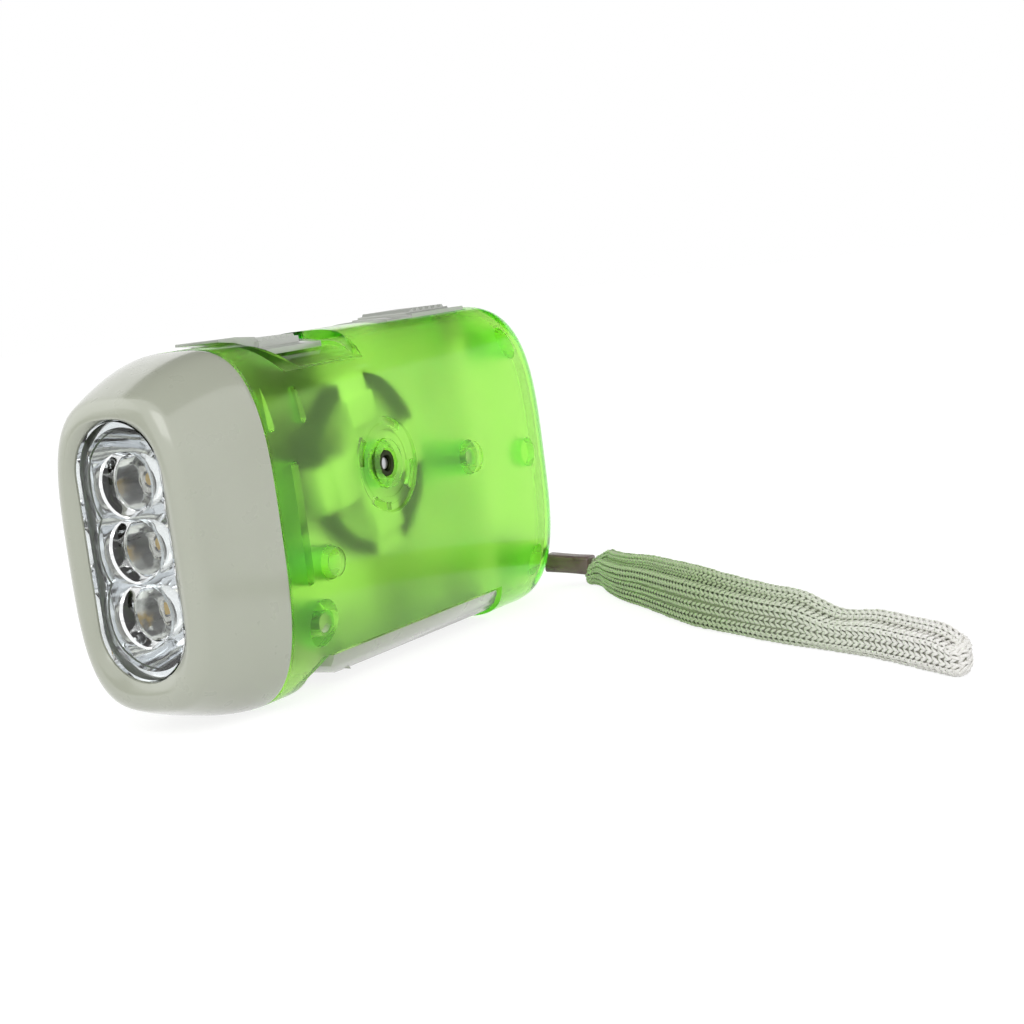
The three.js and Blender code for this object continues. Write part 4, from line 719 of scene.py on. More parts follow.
def seen_directly(owner):
    """1 for camera, mirror and glass rays, 0 for all others."""
    rays = add_node(owner, "LightPath")
    first = add_node(owner, "Math", {"operation": "MAXIMUM"}, _0=rays.outputs["Is Camera Ray"],
                     _1=rays.outputs["Is Glossy Ray"])
    second = add_node(owner, "Math", {"operation": "MAXIMUM"}, _0=first.outputs[0],
                      _1=rays.outputs["Is Transmission Ray"])
    return second.outputs[0]


matt = add_node(table_finish, "BsdfDiffuse", Color=(0.9, 0.9, 0.9, 1))
glow = add_node(table_finish, "Emission", Color=(1, 1, 1, 1), Strength=white_margin)
glow_share = add_node(
    table_finish, "Math", {"operation": "MULTIPLY"}, _0=seen_directly(table_finish), _1=1 - shadow_share)
table_mix = add_node(
    table_finish, "MixShader", _0=glow_share.outputs[0], _1=matt.outputs[0], _2=glow.outputs[0])
table_finish.node_tree.links.new(
    table_mix.outputs[0], table_finish.node_tree.nodes["Material Output"].inputs["Surface"])
table.data.materials.append(table_finish)

room_light = 0.74
room = bpy.data.worlds.new("white_room")
bpy.context.scene.world = room
room.use_nodes = True
room_level = add_node(room, "MapRange", Value=seen_directly(room), To_Min=room_light, To_Max=1.0)
room.node_tree.links.new(room_level.outputs["Result"], room.node_tree.nodes["Background"].inputs["Strength"])
room.node_tree.nodes["Background"].inputs["Color"].default_value = (1, 1, 1, 1)

lamps = {"key_lamp": ((0.35, -0.45, 0.55), 0.5, 1.5), "fill_lamp": ((-0.5, -0.3, 0.4), 0.6, 0.5)}
for name, (place, width, watts) in lamps.items():
    lamp_data = bpy.data.lights.new(name, "AREA")
    lamp_data.size = width
    lamp_data.energy = watts
    lamp = bpy.data.objects.new(name, lamp_data)
    bpy.context.scene.collection.objects.link(lamp)
    lamp.location = place
    lamp.rotation_euler = (spot(0, body_length / 2, 0) - Vector(place)).to_track_quat("-Z", "Y").to_euler()
print("lamps:", list(lamps))

# %% [markdown]
# Glossy plastic and chrome look flat when everything round them is white. Dark walls would help, but would
# dim the room. Photographers hang grey cards beside the white lamps, so that a smooth surface shows soft
# dark bands. The three cards here are seen by reflections alone.

# %% Grey cards for the reflections
cards = {
    "front_card": ((-0.38, -0.62, 0.1), (0.22, 0.45), 0.2),
    "rear_card": ((0.1, 0.75, 0.46), (0.7, 0.12), 0.06),
    "top_card": ((0.0, 0.3, 0.62), (0.55, 0.4), 0.06)}
for name, (place, (half_across, half_up), grey) in cards.items():
    facing = (spot(0, body_length / 2, 0) - Vector(place)).to_track_quat("Z", "Y").to_matrix()
    card_mesh = bpy.data.meshes.new(name)
    card_mesh.from_pydata([
        facing @ Vector((u * half_across, v * half_up, 0)) + Vector(place)
        for u, v in sheet_corners], [], [(0, 1, 2, 3)])
    card_finish = bpy.data.materials.new(f"grey_of_{name}")
    card_finish.use_nodes = True
    card_shader = card_finish.node_tree.nodes["Principled BSDF"]
    card_shader.inputs["Base Color"].default_value = (grey, grey * 0.95, grey * 0.8, 1)
    card_shader.inputs["Roughness"].default_value = 1.0
    card_mesh.materials.append(card_finish)
    card = piece_of(name, card_mesh)
    card.visible_camera = False
    card.visible_diffuse = False
    card.visible_transmission = False
    card.visible_shadow = False
print("cards:", list(cards))

# %% [markdown]
# The body is a long form whose cross section is a superellipse: rounder than a box and squarer than an
# oval. A subdivided box comes near it, but doesn't keep a size exactly. So its rings are worked out, and
# spaced evenly along their outline, so that the faces are even too. Cutting tools are prisms and turned
# shapes, and Blender's Boolean modifier cuts and joins them.

# %% Forms of the body
section_power = 3.3
ring_count = 144
fine_count = 1440
overrun = 2
gap = 0.3
near_axis = 0.02
tip_share = 0.02


def body_ring(half_w, half_h, back, centre=0.0, count=ring_count):
    """One cross section of the body."""
    turns = [*turns_of(fine_count), 2 * math.pi]
    dense = [Vector((x, rise + centre)) for x, rise in squarish(
        half_w, half_h, 2 / section_power, 2 / section_power, turns)]
    return [(p.x, back, p.y) for p in evenly(dense, count + 1)[:-1]]


axis_places = {
    "x": lambda u, v, w: (w, u, v),
    "y": lambda u, v, w: (u, w, v),
    "z": lambda u, v, w: (u, v, w),
}


def prism(name, outline, axis, low, high):
    """An outline given thickness along x (drawn with back and rise), y (x and rise) or z (x and back)."""
    count = len(outline)
    places = [axis_places[axis](u, v, w) for w in (low, high) for u, v in outline]
    sides = [(i, (i + 1) % count, (i + 1) % count + count, i + count) for i in range(count)]
    return solid(name, places, [tuple(range(count)), tuple(range(count, 2 * count)), *sides])


def block(name, low, high):
    """A straight box between two corners, for cutting."""
    (x0, b0, r0), (x1, b1, r1) = low, high
    return prism(name, [(b0, r0), (b1, r0), (b1, r1), (b0, r1)], "x", x0, x1)


def turned(name, profile, at, axis="x", segments=64):
    """A turned shape: the profile lists (radius, distance along the axis), at is its centre line."""
    rings = []
    for radius, along_axis in profile:
        ring = [(at[0] + radius * math.cos(turn), at[1] + radius * math.sin(turn))
                for turn in turns_of(segments)]
        rings.append([axis_places[axis](u, v, along_axis) for u, v in ring])
    return loft(name, rings)


def pin_profile(start, end, radius, edge):
    """Profile of a pin with rounded edges."""
    tip = radius * tip_share
    way = math.copysign(1, end - start)
    turns = [math.pi / 2 * step / 4 for step in range(5)]
    head = [(radius - edge * (1 - math.sin(t)), start + way * edge * (1 - math.cos(t))) for t in turns]
    foot = [(radius - edge * (1 - math.cos(t)), end - way * edge * (1 - math.sin(t))) for t in turns]
    return [(tip, start), *head, *foot, (tip, end)]


def combine(operation, body, *tools):
    """Cuts tools from a body, joins them to it or keeps what they share, and removes the tools."""
    for tool in tools:
        step = body.modifiers.new(tool.name, "BOOLEAN")
        step.solver = "MANIFOLD"
        step.operation = operation
        step.object = tool
    return plain(body, *tools)


print("ring of", ring_count, "points")

# %% [markdown]
# The bezel, the lever and the slides are moulded in warm grey plastic. One colour and one roughness would
# make it look like paint. Real mouldings have faint clouds, scuffs and a fine skin under their gloss, so
# each of these comes from a noise of its own, and a clear coat carries the reflections.

# %% Grey plastic
def moulded_plastic(name, colour, shade, roughness):
    """A glossy moulded plastic, with faint clouds in its colour and gloss and a fine even skin."""
    finish = finish_of(name, colour, roughness, Coat_Weight=1.0, Coat_Roughness=0.14, Coat_IOR=1.6)
    clouds = add_node(finish, "TexNoise", Vector=object_places(finish), Scale=40.0, Detail=2.0).outputs["Fac"]
    drive(finish, "Base Color", tint(finish, spread(finish, clouds, 0, 1), shade, colour))
    scuffs = add_node(finish, "TexNoise", Vector=object_places(finish), Scale=300.0,
                      Detail=3.0).outputs["Fac"]
    drive(finish, "Roughness", spread(finish, scuffs, roughness - 0.03, roughness + 0.05))
    grain(finish, 0.5, 0.002, 0.4)
    return finish


grey_finish = moulded_plastic("grey_moulding", (179, 183, 167), (174, 178, 161), 0.3)
print("grey:", grey_finish.name)

# %% [markdown]
# The bezel is one moulding. It narrows from the seam to the front rim, rounds over the rim, falls in a
# bright lip to the long oval window, and turns back inside as a wall. It could be a solid form with the
# window cut out, but the cut would break the gloss. So it is one closed band of rings.

# %% Bezel
hood_length = 16.5
rim_inset_x = 3.5
rim_inset_z = 5.1
rim_round = 2.0
hood_drop = 0.7
wall = 1.8
front_wall = 2
lens_inset_x = 3.9
lens_inset_z = 2.9
lens_recess = 1
lip_depth = 0.95
seam_round = 0.22
seat_step = 0.8
rim_half_width = half_width - rim_inset_x
rim_half_height = half_height - rim_inset_z
window_half_width = rim_half_width - lens_inset_x
window_half_height = rim_half_height - lens_inset_z


def hood_half(back):
    """Half width, half height and centre of the hood, at a distance behind the rim."""
    left = 1 - min(1, back / hood_length)
    edge = max(0, 1 - back / rim_round)
    inset = rim_round * (1 - math.sqrt(1 - edge ** 2))
    return (half_width - rim_inset_x * left ** 1.1 - inset, half_height - rim_inset_z * left ** 1.6 - inset,
            -hood_drop * left)


def hood_ring(back, depth=0.0):
    """The hood's outline at a distance behind the rim, or the same outline drawn in by a depth."""
    half_w, half_h, centre = hood_half(back)
    return body_ring(half_w - depth, half_h - depth, back, centre)


def window_ring(guide, back, grow=0.0):
    """The long oval window's outline, point for point opposite a guide ring, made larger by a distance."""
    reach = window_half_height - window_half_width
    ring = []
    for x, _, rise in guide:
        middle = min(max(rise, -reach), reach)
        away = Vector((x, rise - middle)).normalized() * (window_half_width + grow)
        ring.append((away.x, back, middle + away.y))
    return ring


def between(first, second, share, back):
    """A ring part of the way from one ring to another, at a distance behind the rim."""
    return [(a[0] + (b[0] - a[0]) * share, back, a[2] + (b[2] - a[2]) * share)
            for a, b in zip(first, second)]


def bezel_rings():
    """The bezel's section as rings: hood, rounded rim, face, lip, window wall, seat and inner wall."""
    seam_end = hood_length - gap / 2
    hood_shares = [
        1, 0.995, 0.985, 0.96, 0.9, 0.82, 0.74, 0.66, 0.58, 0.5, 0.42, 0.34, 0.27, 0.2, 0.14,
        0.1, 0.075, 0.055, 0.038, 0.024, 0.013, 0.005, 0]
    outer = [hood_ring(share * seam_end) for share in hood_shares]
    outer[0] = hood_ring(seam_end, seam_round)
    outer[1] = hood_ring(seam_end - seam_round * 0.3, seam_round * 0.3)
    outer[2] = hood_ring(seam_end - seam_round)
    rim = outer[-1]
    edge = window_ring(rim, 0)
    lip_shares = [0.95, 0.88, 0.8, 0.7, 0.6, 0.5, 0.4, 0.3, 0.22, 0.15, 0.09, 0.04, 0]
    lip_rings = [between(edge, rim, share, lip_depth * (1 - share) ** 1.7) for share in lip_shares]
    inside = [window_ring(rim, front_wall), window_ring(rim, front_wall, seat_step)]
    inner_backs = [front_wall, front_wall + seat_step / 2, 4, 6, 8, 10, 12, 14, seam_end]
    inner = [hood_ring(back, wall) for back in inner_backs]
    return [*outer, *lip_rings, *inside, *inner]


bezel = smooth(loft("bezel_moulding", bezel_rings(), ring_closed=True), 50)
dress(bezel, grey_finish, "front_bezel")

# %% [markdown]
# The window and the three round collimators behind it are one clear moulding. Each collimator is a bulging
# lens in front and a short cone behind, over its lamp. They could simply stand in one another, but light
# bends at every wall, also at one inside clear plastic. So plate and collimators are closed shapes joined
# with a Boolean.

# %% Lens
lamp_pitch = 9.5
lamp_rises = (lamp_pitch, 0, -lamp_pitch)
lens_front = lens_recess
flange_thickness = 1.2
flange_reach = 1.2
lens_back = front_wall + gap + flange_thickness
plate_sink = 0.2
dome_radius = 4.72
dome_rise = 0.6
dome_steps = 12
cone_length = 4.2
cone_end = 3.7
cone_step = 0.15
cone_round = 0.1
cup_segments = 72


def stadium(half_w, half_h, steps=32):
    """A long oval with round ends, drawn with x and rise."""
    reach = half_h - half_w
    outline = []
    for end in (1, -1):
        for k in range(steps + 1):
            turn = math.pi * k / steps + (0 if end > 0 else math.pi)
            outline.append((half_w * math.cos(turn), end * reach + half_w * math.sin(turn)))
    return outline


def collimator(rise):
    """One clear collimator: a shallow dome in front and a cone behind."""
    sphere = (dome_radius ** 2 + dome_rise ** 2) / (2 * dome_rise)
    dome = []
    for k in range(dome_steps + 1):
        radius = max(dome_radius * k / dome_steps, near_axis)
        fall = sphere - math.sqrt(sphere ** 2 - radius ** 2)
        dome.append((radius, lens_front - dome_rise + fall))
    tip = lens_back + cone_length
    cone = [(dome_radius, lens_back - 2 * cone_step), (dome_radius - cone_step, lens_back + plate_sink),
            (cone_end + cone_round, tip - cone_step), (cone_end - cone_round, tip), (near_axis, tip)]
    return turned("collimator", [*dome, *cone], (0, rise), "y", cup_segments)


lens_plate = prism("lens_plate", stadium(window_half_width - gap, window_half_height - gap), "y",
                   lens_front, lens_back - plate_sink)
seat_outline = stadium(window_half_width + flange_reach, window_half_height + flange_reach)
lens_flange = prism("lens_flange", seat_outline, "y", front_wall + gap, lens_back)
window = combine("UNION", lens_plate, lens_flange, *[collimator(rise) for rise in lamp_rises])
window.name = "clear_window"
smooth(window, 32)

clear_finish = finish_of("clear_window_plastic", (250, 252, 252), 0.03, Transmission_Weight=1.0, IOR=1.49)
clear_marks = add_node(
    clear_finish, "TexNoise", Vector=object_places(clear_finish), Scale=500.0, Detail=6.0).outputs["Fac"]
drive(clear_finish, "Roughness", spread(clear_finish, clear_marks, 0.01, 0.06, 0.5, 0.75))
let_lamps_through(clear_finish, (0.96, 0.96, 0.96, 1))
dress(window, clear_finish, "lens")

# %% [markdown]
# Behind the window lies a bright metallised tray with three cups, each a parabola round its lamp. Three
# separate cups would overlap, because the lamps stand close. So solid cups are joined to a plate, trimmed
# to its outline, and then hollowed by three turned tools, which leaves the scalloped ridges seen at the
# side.

# %% Reflector
reflector_front = lens_back + gap
reflector_back = corners("lamp_board")[0].y + body_length / 2 - gap
cup_mouth = window_half_width + 0.1
cup_back = 3.2
cup_wall = 0.9
cup_steps = 14
cup_start = 0.1
tray_thickness = 0.8


def cup_rows(extra):
    """The parabola of a cup from its mouth to its back, made larger by a distance."""
    shares = [(k / cup_steps) ** 0.8 for k in range(cup_steps + 1)]
    return [(cup_back + (cup_mouth - cup_back) * math.sqrt(1 - share) + extra,
             reflector_front + share * (reflector_back - reflector_front)) for share in shares]


def cup(name, rows, front, back, rise):
    """A closed turned cup between two ends, round one lamp."""
    profile = [(near_axis, front), *rows, (rows[-1][0], back), (near_axis, back)]
    return turned(name, profile, (0, rise), "y", cup_segments)


tray = prism("tray", seat_outline, "y", reflector_front, reflector_front + tray_thickness)
tray = combine("UNION", tray, *[
    cup("cup", cup_rows(cup_wall)[1:], reflector_front + cup_start, reflector_back, rise)
    for rise in lamp_rises])
tray = combine("INTERSECT", tray, prism(
    "tray_trim", seat_outline, "y", reflector_front - overrun, reflector_back + overrun))
tray = combine("DIFFERENCE", tray, *[
    cup("cup_hollow", [(cup_mouth, reflector_front - overrun), *cup_rows(0)], reflector_front - overrun,
        reflector_back + overrun, rise) for rise in lamp_rises])
tray.name = "reflector_tray"
smooth(tray, 30)

chrome_finish = finish_of("metallised_reflector", (232, 234, 236), 0.05, Metallic=1.0)
ripple = add_node(chrome_finish, "TexNoise", Vector=object_places(chrome_finish), Scale=350.0, Detail=2.0)
chrome_bump = add_node(chrome_finish, "Bump", Height=ripple.outputs["Fac"], Strength=0.5, Distance=0.05 * MM)
drive(chrome_finish, "Normal", chrome_bump.outputs["Normal"])
drive(chrome_finish, "Roughness", spread(chrome_finish, ripple.outputs["Fac"], 0.03, 0.1))
dress(tray, chrome_finish, "reflector")

# %% [markdown]
# The three lamps are bullets of clear epoxy with a flange at the base. A cylinder and half a sphere would
# be close, but light bends at the wall between two shapes that stand in one another. So a lamp is one turned
# profile, from its flange to the tip of its dome.

# %% Lamps
lamp_radius = 2.5
lamp_flange = 2.9
lamp_height = 6.2
flange_height = 0.9
flange_round = 0.1
lamp_steps = 14
lamp_base = corners("lamp_board")[0].y + body_length / 2 - gap
epoxy_finish = finish_of("clear_epoxy", (250, 248, 236), 0.04, Transmission_Weight=1.0, IOR=1.54)
epoxy_flow = add_node(epoxy_finish, "TexNoise", Vector=object_places(epoxy_finish), Scale=400.0, Detail=3.0)
drive(epoxy_finish, "Roughness", spread(epoxy_finish, epoxy_flow.outputs["Fac"], 0.02, 0.07))


def lamp_profile():
    """Half outline of a lamp, from the middle of its base over the flange to the tip of its dome."""
    straight = lamp_height - lamp_radius
    dome = [(lamp_radius * math.cos(t), lamp_base - straight - lamp_radius * math.sin(t))
            for t in (math.pi / 2 * k / lamp_steps for k in range(lamp_steps))]
    step = lamp_base - flange_height
    return [(near_axis, lamp_base), (lamp_flange - flange_round, lamp_base),
            (lamp_flange, lamp_base - flange_round), (lamp_flange, step + flange_round),
            (lamp_flange - flange_round, step), (lamp_radius, step), *dome,
            (near_axis, lamp_base - lamp_height)]


print(f"lamps from {lamp_base - lamp_height:.1f} to {lamp_base:.1f} mm behind the rim")

# %% [markdown]
# Inside a lamp stand two metal posts, and the wider one carries a small cup with a dab of yellow phosphor. A
# yellow spot painted on the lamp would do from afar, but the window enlarges what lies behind it. The dab
# gives each lamp its warm speck.

# %% Posts and phosphor of the lamps
post_half = 0.25
post_apart = 0.85
post_end = lamp_base - 0.2
anvil_top = lamp_base - 3.6
anvil_widening = 1.6
anvil_reach = 1.15
anvil_depth = 0.6
anvil_hollow = 0.3
anvil_lip = 0.02
anvil_x = -post_apart * 0.6
phosphor_radius = 0.55
phosphor_swell = 0.2
dab_steps = 6
dab_first_turn = 0.02

post_finish = finish_of("lamp_posts_metal", (196, 197, 200), 0.25, Metallic=1.0)
post_marks = add_node(post_finish, "TexNoise", Vector=object_places(post_finish), Scale=2500.0)
drive(post_finish, "Roughness", spread(post_finish, post_marks.outputs["Fac"], 0.2, 0.4))
phosphor_finish = finish_of("phosphor_dab", (236, 196, 72), 0.6)
phosphor_marks = add_node(phosphor_finish, "TexNoise", Vector=object_places(phosphor_finish), Scale=3000.0)
drive(phosphor_finish, "Base Color",
      tint(phosphor_finish, phosphor_marks.outputs["Fac"], (226, 178, 54), (244, 214, 104)))


def lamp_post(x, widening, top, rise):
    """One square metal post of a lamp, made wider by a factor."""
    wide = post_half * widening
    outline = [(x - wide, rise - post_half), (x + wide, rise - post_half),
               (x + wide, rise + post_half), (x - wide, rise + post_half)]
    return prism("post", outline, "y", top, post_end)


def lamp_posts(rise):
    """Both posts of a lamp, with the small cup on the wider one."""
    hollow = anvil_top + anvil_hollow
    anvil = [(near_axis, anvil_top + anvil_depth), (0.9, anvil_top + anvil_depth), (anvil_reach, anvil_top),
             (0.75, anvil_top - anvil_lip), (0.6, hollow), (near_axis, hollow)]
    return combine(
        "UNION", lamp_post(-post_apart, anvil_widening, anvil_top, rise),
        lamp_post(post_apart, 1, hollow, rise), turned("anvil", anvil, (anvil_x, rise), "y", 28))


def phosphor_dab(rise):
    """The dab of phosphor that fills the small cup of a lamp."""
    middle = anvil_top + 0.05
    profile = [(phosphor_radius * math.sin(t), middle - phosphor_swell * math.cos(t))
               for t in (math.pi / 2 * k / dab_steps + dab_first_turn for k in range(dab_steps + 1))]
    return turned("phosphor", [*profile, (near_axis, middle + phosphor_swell)], (anvil_x, rise), "y", 24)


for number, rise in enumerate(lamp_rises, 1):
    bullet = smooth(turned(f"lamp_bullet_{number}", lamp_profile(), (0, rise), "y", 48), 40)
    dress(bullet, epoxy_finish, f"lamp_{number}")
    for part, name, finish, slot in [
            (lamp_posts(rise), "lamp_posts", post_finish, "bright_steel"),
            (phosphor_dab(rise), "lamp_phosphor", phosphor_finish, "clear_lamp")]:
        part.name = f"{name}_{number}"
        coat_with(smooth(part, 40), finish)
        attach(part, "case")
        print(f"{part.name}: {len(part.data.polygons)} faces")

# %% [markdown]
# The housing is the heart of the picture. A single skin with a see-through material would be quick, but
# its walls would have no depth. So each half is rebuilt as one closed shell with real thickness: the outer
# form, hollowed by the inner form, joined with its bosses and ribs, then cut by the thumb scoop, the
# lever's opening, the screw holes and the round dial. Light then bends and takes on colour in it by
# itself.

# %% Outer and inner forms of the housing
seam_gap = gap / 2
shell_front = hood_length + seam_gap
tail_profile_radius = 8.5
tail_plan_radius = 7.2
neck_length = 3.6
neck_wall = 1.3
neck_merge = 1.4
neck_depth = wall + 0.5
neck_taper = 0.8
neck_front = shell_front - neck_length
neck_end = shell_front + neck_merge
edge_round = 0.25
edge_steps = 4
body_steps = 12
tail_steps = 16


def housing_form(name, depth, front, rounded=False):
    """The housing's closed form, drawn in by a depth, from a front distance to the rounded tail."""
    half_w, half_h = half_width - depth, half_height - depth
    rings = []
    if rounded:
        for step in range(edge_steps):
            turn = math.pi / 2 * step / edge_steps
            inset = edge_round * (1 - math.sin(turn))
            back = front + edge_round * (1 - math.cos(turn))
            rings.append(body_ring(half_w - inset, half_h - inset, back))
        front += edge_round
    straight = body_length - depth - tail_profile_radius - front
    rings += [body_ring(half_w, half_h, front + straight * k / body_steps) for k in range(body_steps + 1)]
    for step in range(1, tail_steps + 1):
        turn = math.pi / 2 * step / tail_steps
        drop = 1 - math.cos(turn)
        rings.append(body_ring(half_w - tail_plan_radius * drop, half_h - tail_profile_radius * drop,
                               body_length - depth - tail_profile_radius * (1 - math.sin(turn))))
    return loft(name, rings)


def empty_shell():
    """The housing without bosses: hollow, with a neck that goes into the bezel."""
    outer = housing_form("outer_form", 0, shell_front, rounded=True)
    neck_low, neck_high = neck_depth + neck_taper, neck_depth
    tongue = loft("tongue", [
        body_ring(half_width - neck_low, half_height - neck_low, neck_front),
        body_ring(half_width - neck_high, half_height - neck_high, neck_end + gap)])
    bore_low, bore_high = neck_low + neck_wall, neck_high + neck_wall
    bore = loft("bore", [
        body_ring(half_width - bore_low, half_height - bore_low, neck_front - overrun),
        body_ring(half_width - bore_high, half_height - bore_high, neck_end + overrun)])
    outer = combine("UNION", outer, tongue)
    return combine("DIFFERENCE", outer, housing_form("hollow", wall, neck_end), bore)


shell_blank = empty_shell()
print("shell blank:", len(shell_blank.data.polygons), "faces")

# %% [markdown]
# The scoop on top takes the thumb that pushes the lamp switch. It could be sculpted, but its edges are
# crisp and its floor is even. So its room is what three simple shapes share: a side view with a curved
# ramp, a crowned floor, and a plan with a squarish rear. The same shape, grown by a wall, gives the pan
# under the floor.

# %% The thumb scoop
scoop = {"front": 22.8, "slope": 7.2, "ramp_depth": 4.7, "depth": 2.1, "crown": 30.4, "half_width": 13,
         "arc_centre": 39, "arc_length": 8.8, "pan": 1.5, "steps": 24}
scoop_floor = half_height - scoop["depth"]


def crown_line(reach, lift, steps):
    """The scoop's crowned floor across the body, raised by a distance."""
    radius = scoop["crown"] + lift
    middle = scoop_floor - scoop["crown"]
    across = [reach * (2 * i / steps - 1) for i in range(steps + 1)]
    return [(x, middle + math.sqrt(radius ** 2 - x ** 2)) for x in across]


def scoop_tool(name, grow):
    """The room of the scoop over its floor: a ramp in front, a crowned floor and a squarish rear arc."""
    top = half_height + overrun
    steps = scoop["steps"]
    front = scoop["front"] - grow
    foot = half_height - scoop["ramp_depth"] - grow
    turns = [math.pi / 2 * i / steps for i in range(steps + 1)]
    ramp = [(front + scoop["slope"] * math.sin(t), foot + (half_height - foot) * max(math.cos(t), 0) ** 3)
            for t in turns]
    end = scoop["arc_centre"] + scoop["arc_length"] + grow + overrun
    side = prism(name, [(front, top), *ramp, (end, foot), (end, top)], "x",
                 -half_width - overrun, half_width + overrun)
    wide = scoop["half_width"] + grow
    floor = prism("scoop_floor", [*crown_line(wide, -grow, steps * 2), (wide, top), (-wide, top)], "y",
                  front - overrun, end)
    rear = []
    for i in range(steps * 2 + 1):
        turn = math.pi * i / (steps * 2)
        c, s = math.cos(turn), max(math.sin(turn), 0)
        rear.append((math.copysign(wide * abs(c) ** (2 / 3), c),
                     scoop["arc_centre"] + (scoop["arc_length"] + grow) * s ** (2 / 3)))
    plan = prism("scoop_plan", [(-wide, front - overrun), (wide, front - overrun), *rear], "z",
                 foot - overrun, top + overrun)
    return combine("INTERSECT", side, floor, plan)


print("scoop from", scoop["front"], "to", scoop["arc_centre"] + scoop["arc_length"], "mm")

# %% [markdown]
# Bosses carry the axles and the screws, and ribs hold the cells. They could be loose cylinders and boxes
# pushed into the wall, but every hidden wall would show through clear plastic. So each is a closed form
# that ends in the middle of the wall, and they are joined to it later.

# %% Bosses and ribs
rotor = (44.9, 5.2)
drive_axis = (69.548, 2.457)
pivot = (25.695, -15.797)
screw_places = {
    "front": (pivot[0] + 2.6, -7.2), "tail_top": (body_length - 8.7, half_height - 7.6),
    "tail_low": (body_length - 8.5, -half_height + 8.5)}
tail_peg = (body_length - 9.4, 0.5)
boss_radius = {"rotor": 3.8, "drive": 2.9, "pivot": 3.5, "nut": 2.6, "head": 3.9, "peg": 2.5}
boss_inner_left = {"rotor": 11.4, "drive": 0.88, "pivot": 9.1, "peg": 10.7}
boss_inner_right = {"rotor": 12.5, "drive": 6.9, "pivot": 9.1}
boss_round = 0.25
holder_rib = {"inner": 8.4, "back": 23, "low": -8.8, "high": 8}
holder_thickness = {"left": 1.7, "right": 1.0}
short_ribs = [{"inner": 11.3, "back": 19.6, "low": 14.3, "high": 20.1},
              {"inner": 11.3, "back": 27.4, "low": 14.7, "high": 18.7}]
short_thickness = 1.4


def boss(name, side, at, inner, radius):
    """A round boss from inside the body to the wall, on one side."""
    start, end = side * inner, side * (half_width - wall / 2)
    return turned(name, pin_profile(start, end, radius, boss_round), at, segments=48)


def rib(name, side, thickness, inner, back, low, high):
    """A short wall across x with rounded ends, from an inner distance to the shell."""
    half = thickness / 2
    turns = [math.pi * k / 8 for k in range(9)]
    outline = [(back + half * math.cos(t), high + half * math.sin(t)) for t in turns]
    outline += [(back - half * math.cos(t), low - half * math.sin(t)) for t in turns]
    return prism(name, outline, "x", *sorted((side * inner, side * (half_width - wall / 2))))


def inner_forms(side):
    """Everything that stands inside one half."""
    left = side > 0
    inner = boss_inner_left if left else boss_inner_right
    forms = [boss(f"{name}_boss", side, at, inner[name], boss_radius[name])
             for name, at in (("pivot", pivot), ("drive", drive_axis), ("rotor", rotor))]
    forms.append(rib("holder_rib", side, holder_thickness["left" if left else "right"], **holder_rib))
    forms += [boss(f"screw_boss_{name}", side, at, 0, boss_radius["nut" if left else "head"])
              for name, at in screw_places.items()]
    if left:
        forms += [rib("short_rib", side, short_thickness, **sizes) for sizes in short_ribs]
        forms.append(boss("tail_peg", side, tail_peg, inner["peg"], boss_radius["peg"]))
    return forms


print("screws at", screw_places)

# %% [markdown]
# A round dial is moulded over the end of the rotor: a ring groove with soft steps and four short deep
# slots. Rings drawn in paint would lie flat, and the groove catches the light. So a closed band of rings
# cuts the groove, and curved prisms cut the slots. The holes and dishes of the axles and screws are turned
# tools.

# %% The round dial and the holes
dial_profile = [
    (3.8, -overrun), (3.8, 0.35), (3.95, 0.45), (5.2, 0.45), (5.35, 0.3),
    (6.3, 0.3), (6.45, 0.42), (7.35, 0.42), (7.7, 0.1), (7.8, -overrun)]
dial_slot = {"inner": 6.1, "outer": 7.35, "depth": 1.25, "first_turn": 68, "half_turn": 19, "count": 4}
hole_radius = {"rotor": 2.38, "drive": 1.48, "pivot": 1.88, "screw": 1.43, "head": 2.8}
hole_round = 0.05
drive_cover = 1.2
pivot_cover = 2.1
dish_depth = 0.35
dish_radius = {"pivot": 3.2, "drive": 2.6}
front_dish = {"depth": 0.3, "radius": 2.2, "edge": 0.2}
screw_end = 6.8
head_seat = 9


def dial_tools(side):
    """Tools for the round dial over the rotor."""
    rings = [[(side * (half_width - depth), rotor[0] + r * math.cos(t), rotor[1] + r * math.sin(t))
              for t in turns_of(96)] for r, depth in dial_profile]
    tools = [loft("dial_groove", rings, ring_closed=True)]
    for k in range(dial_slot["count"]):
        middle = math.radians(dial_slot["first_turn"] + 360 / dial_slot["count"] * k)
        turns = [middle + math.radians(dial_slot["half_turn"]) * (i / 8 - 1) for i in range(17)]
        slot = [(rotor[0] + r * math.cos(t), rotor[1] + r * math.sin(t))
                for r, way in ((dial_slot["outer"], 1), (dial_slot["inner"], -1)) for t in turns[::way]]
        tools.append(prism("dial_slot", slot, "x", *sorted((
            side * (half_width - dial_slot["depth"]), side * (half_width + overrun)))))
    return tools


def hole(name, at, start, end, radius):
    """A round hole along x."""
    return turned(name, pin_profile(start, end, radius, hole_round), at, segments=40)


def screw_tools(side, name, at):
    """The hole of a screw in one half, with the room of its head or the dish over its tip."""
    if side < 0:
        return [hole("screw_hole", at, -head_seat - overrun, overrun, hole_radius["screw"]),
                hole("head_hole", at, -half_width - overrun, -head_seat, hole_radius["head"])]
    tools = [hole("screw_hole", at, -overrun, screw_end, hole_radius["screw"])]
    if name == "front":
        profile = pin_profile(half_width - front_dish["depth"], half_width + overrun,
                              front_dish["radius"], front_dish["edge"])
        tools.append(turned("screw_dish", profile, at))
    return tools


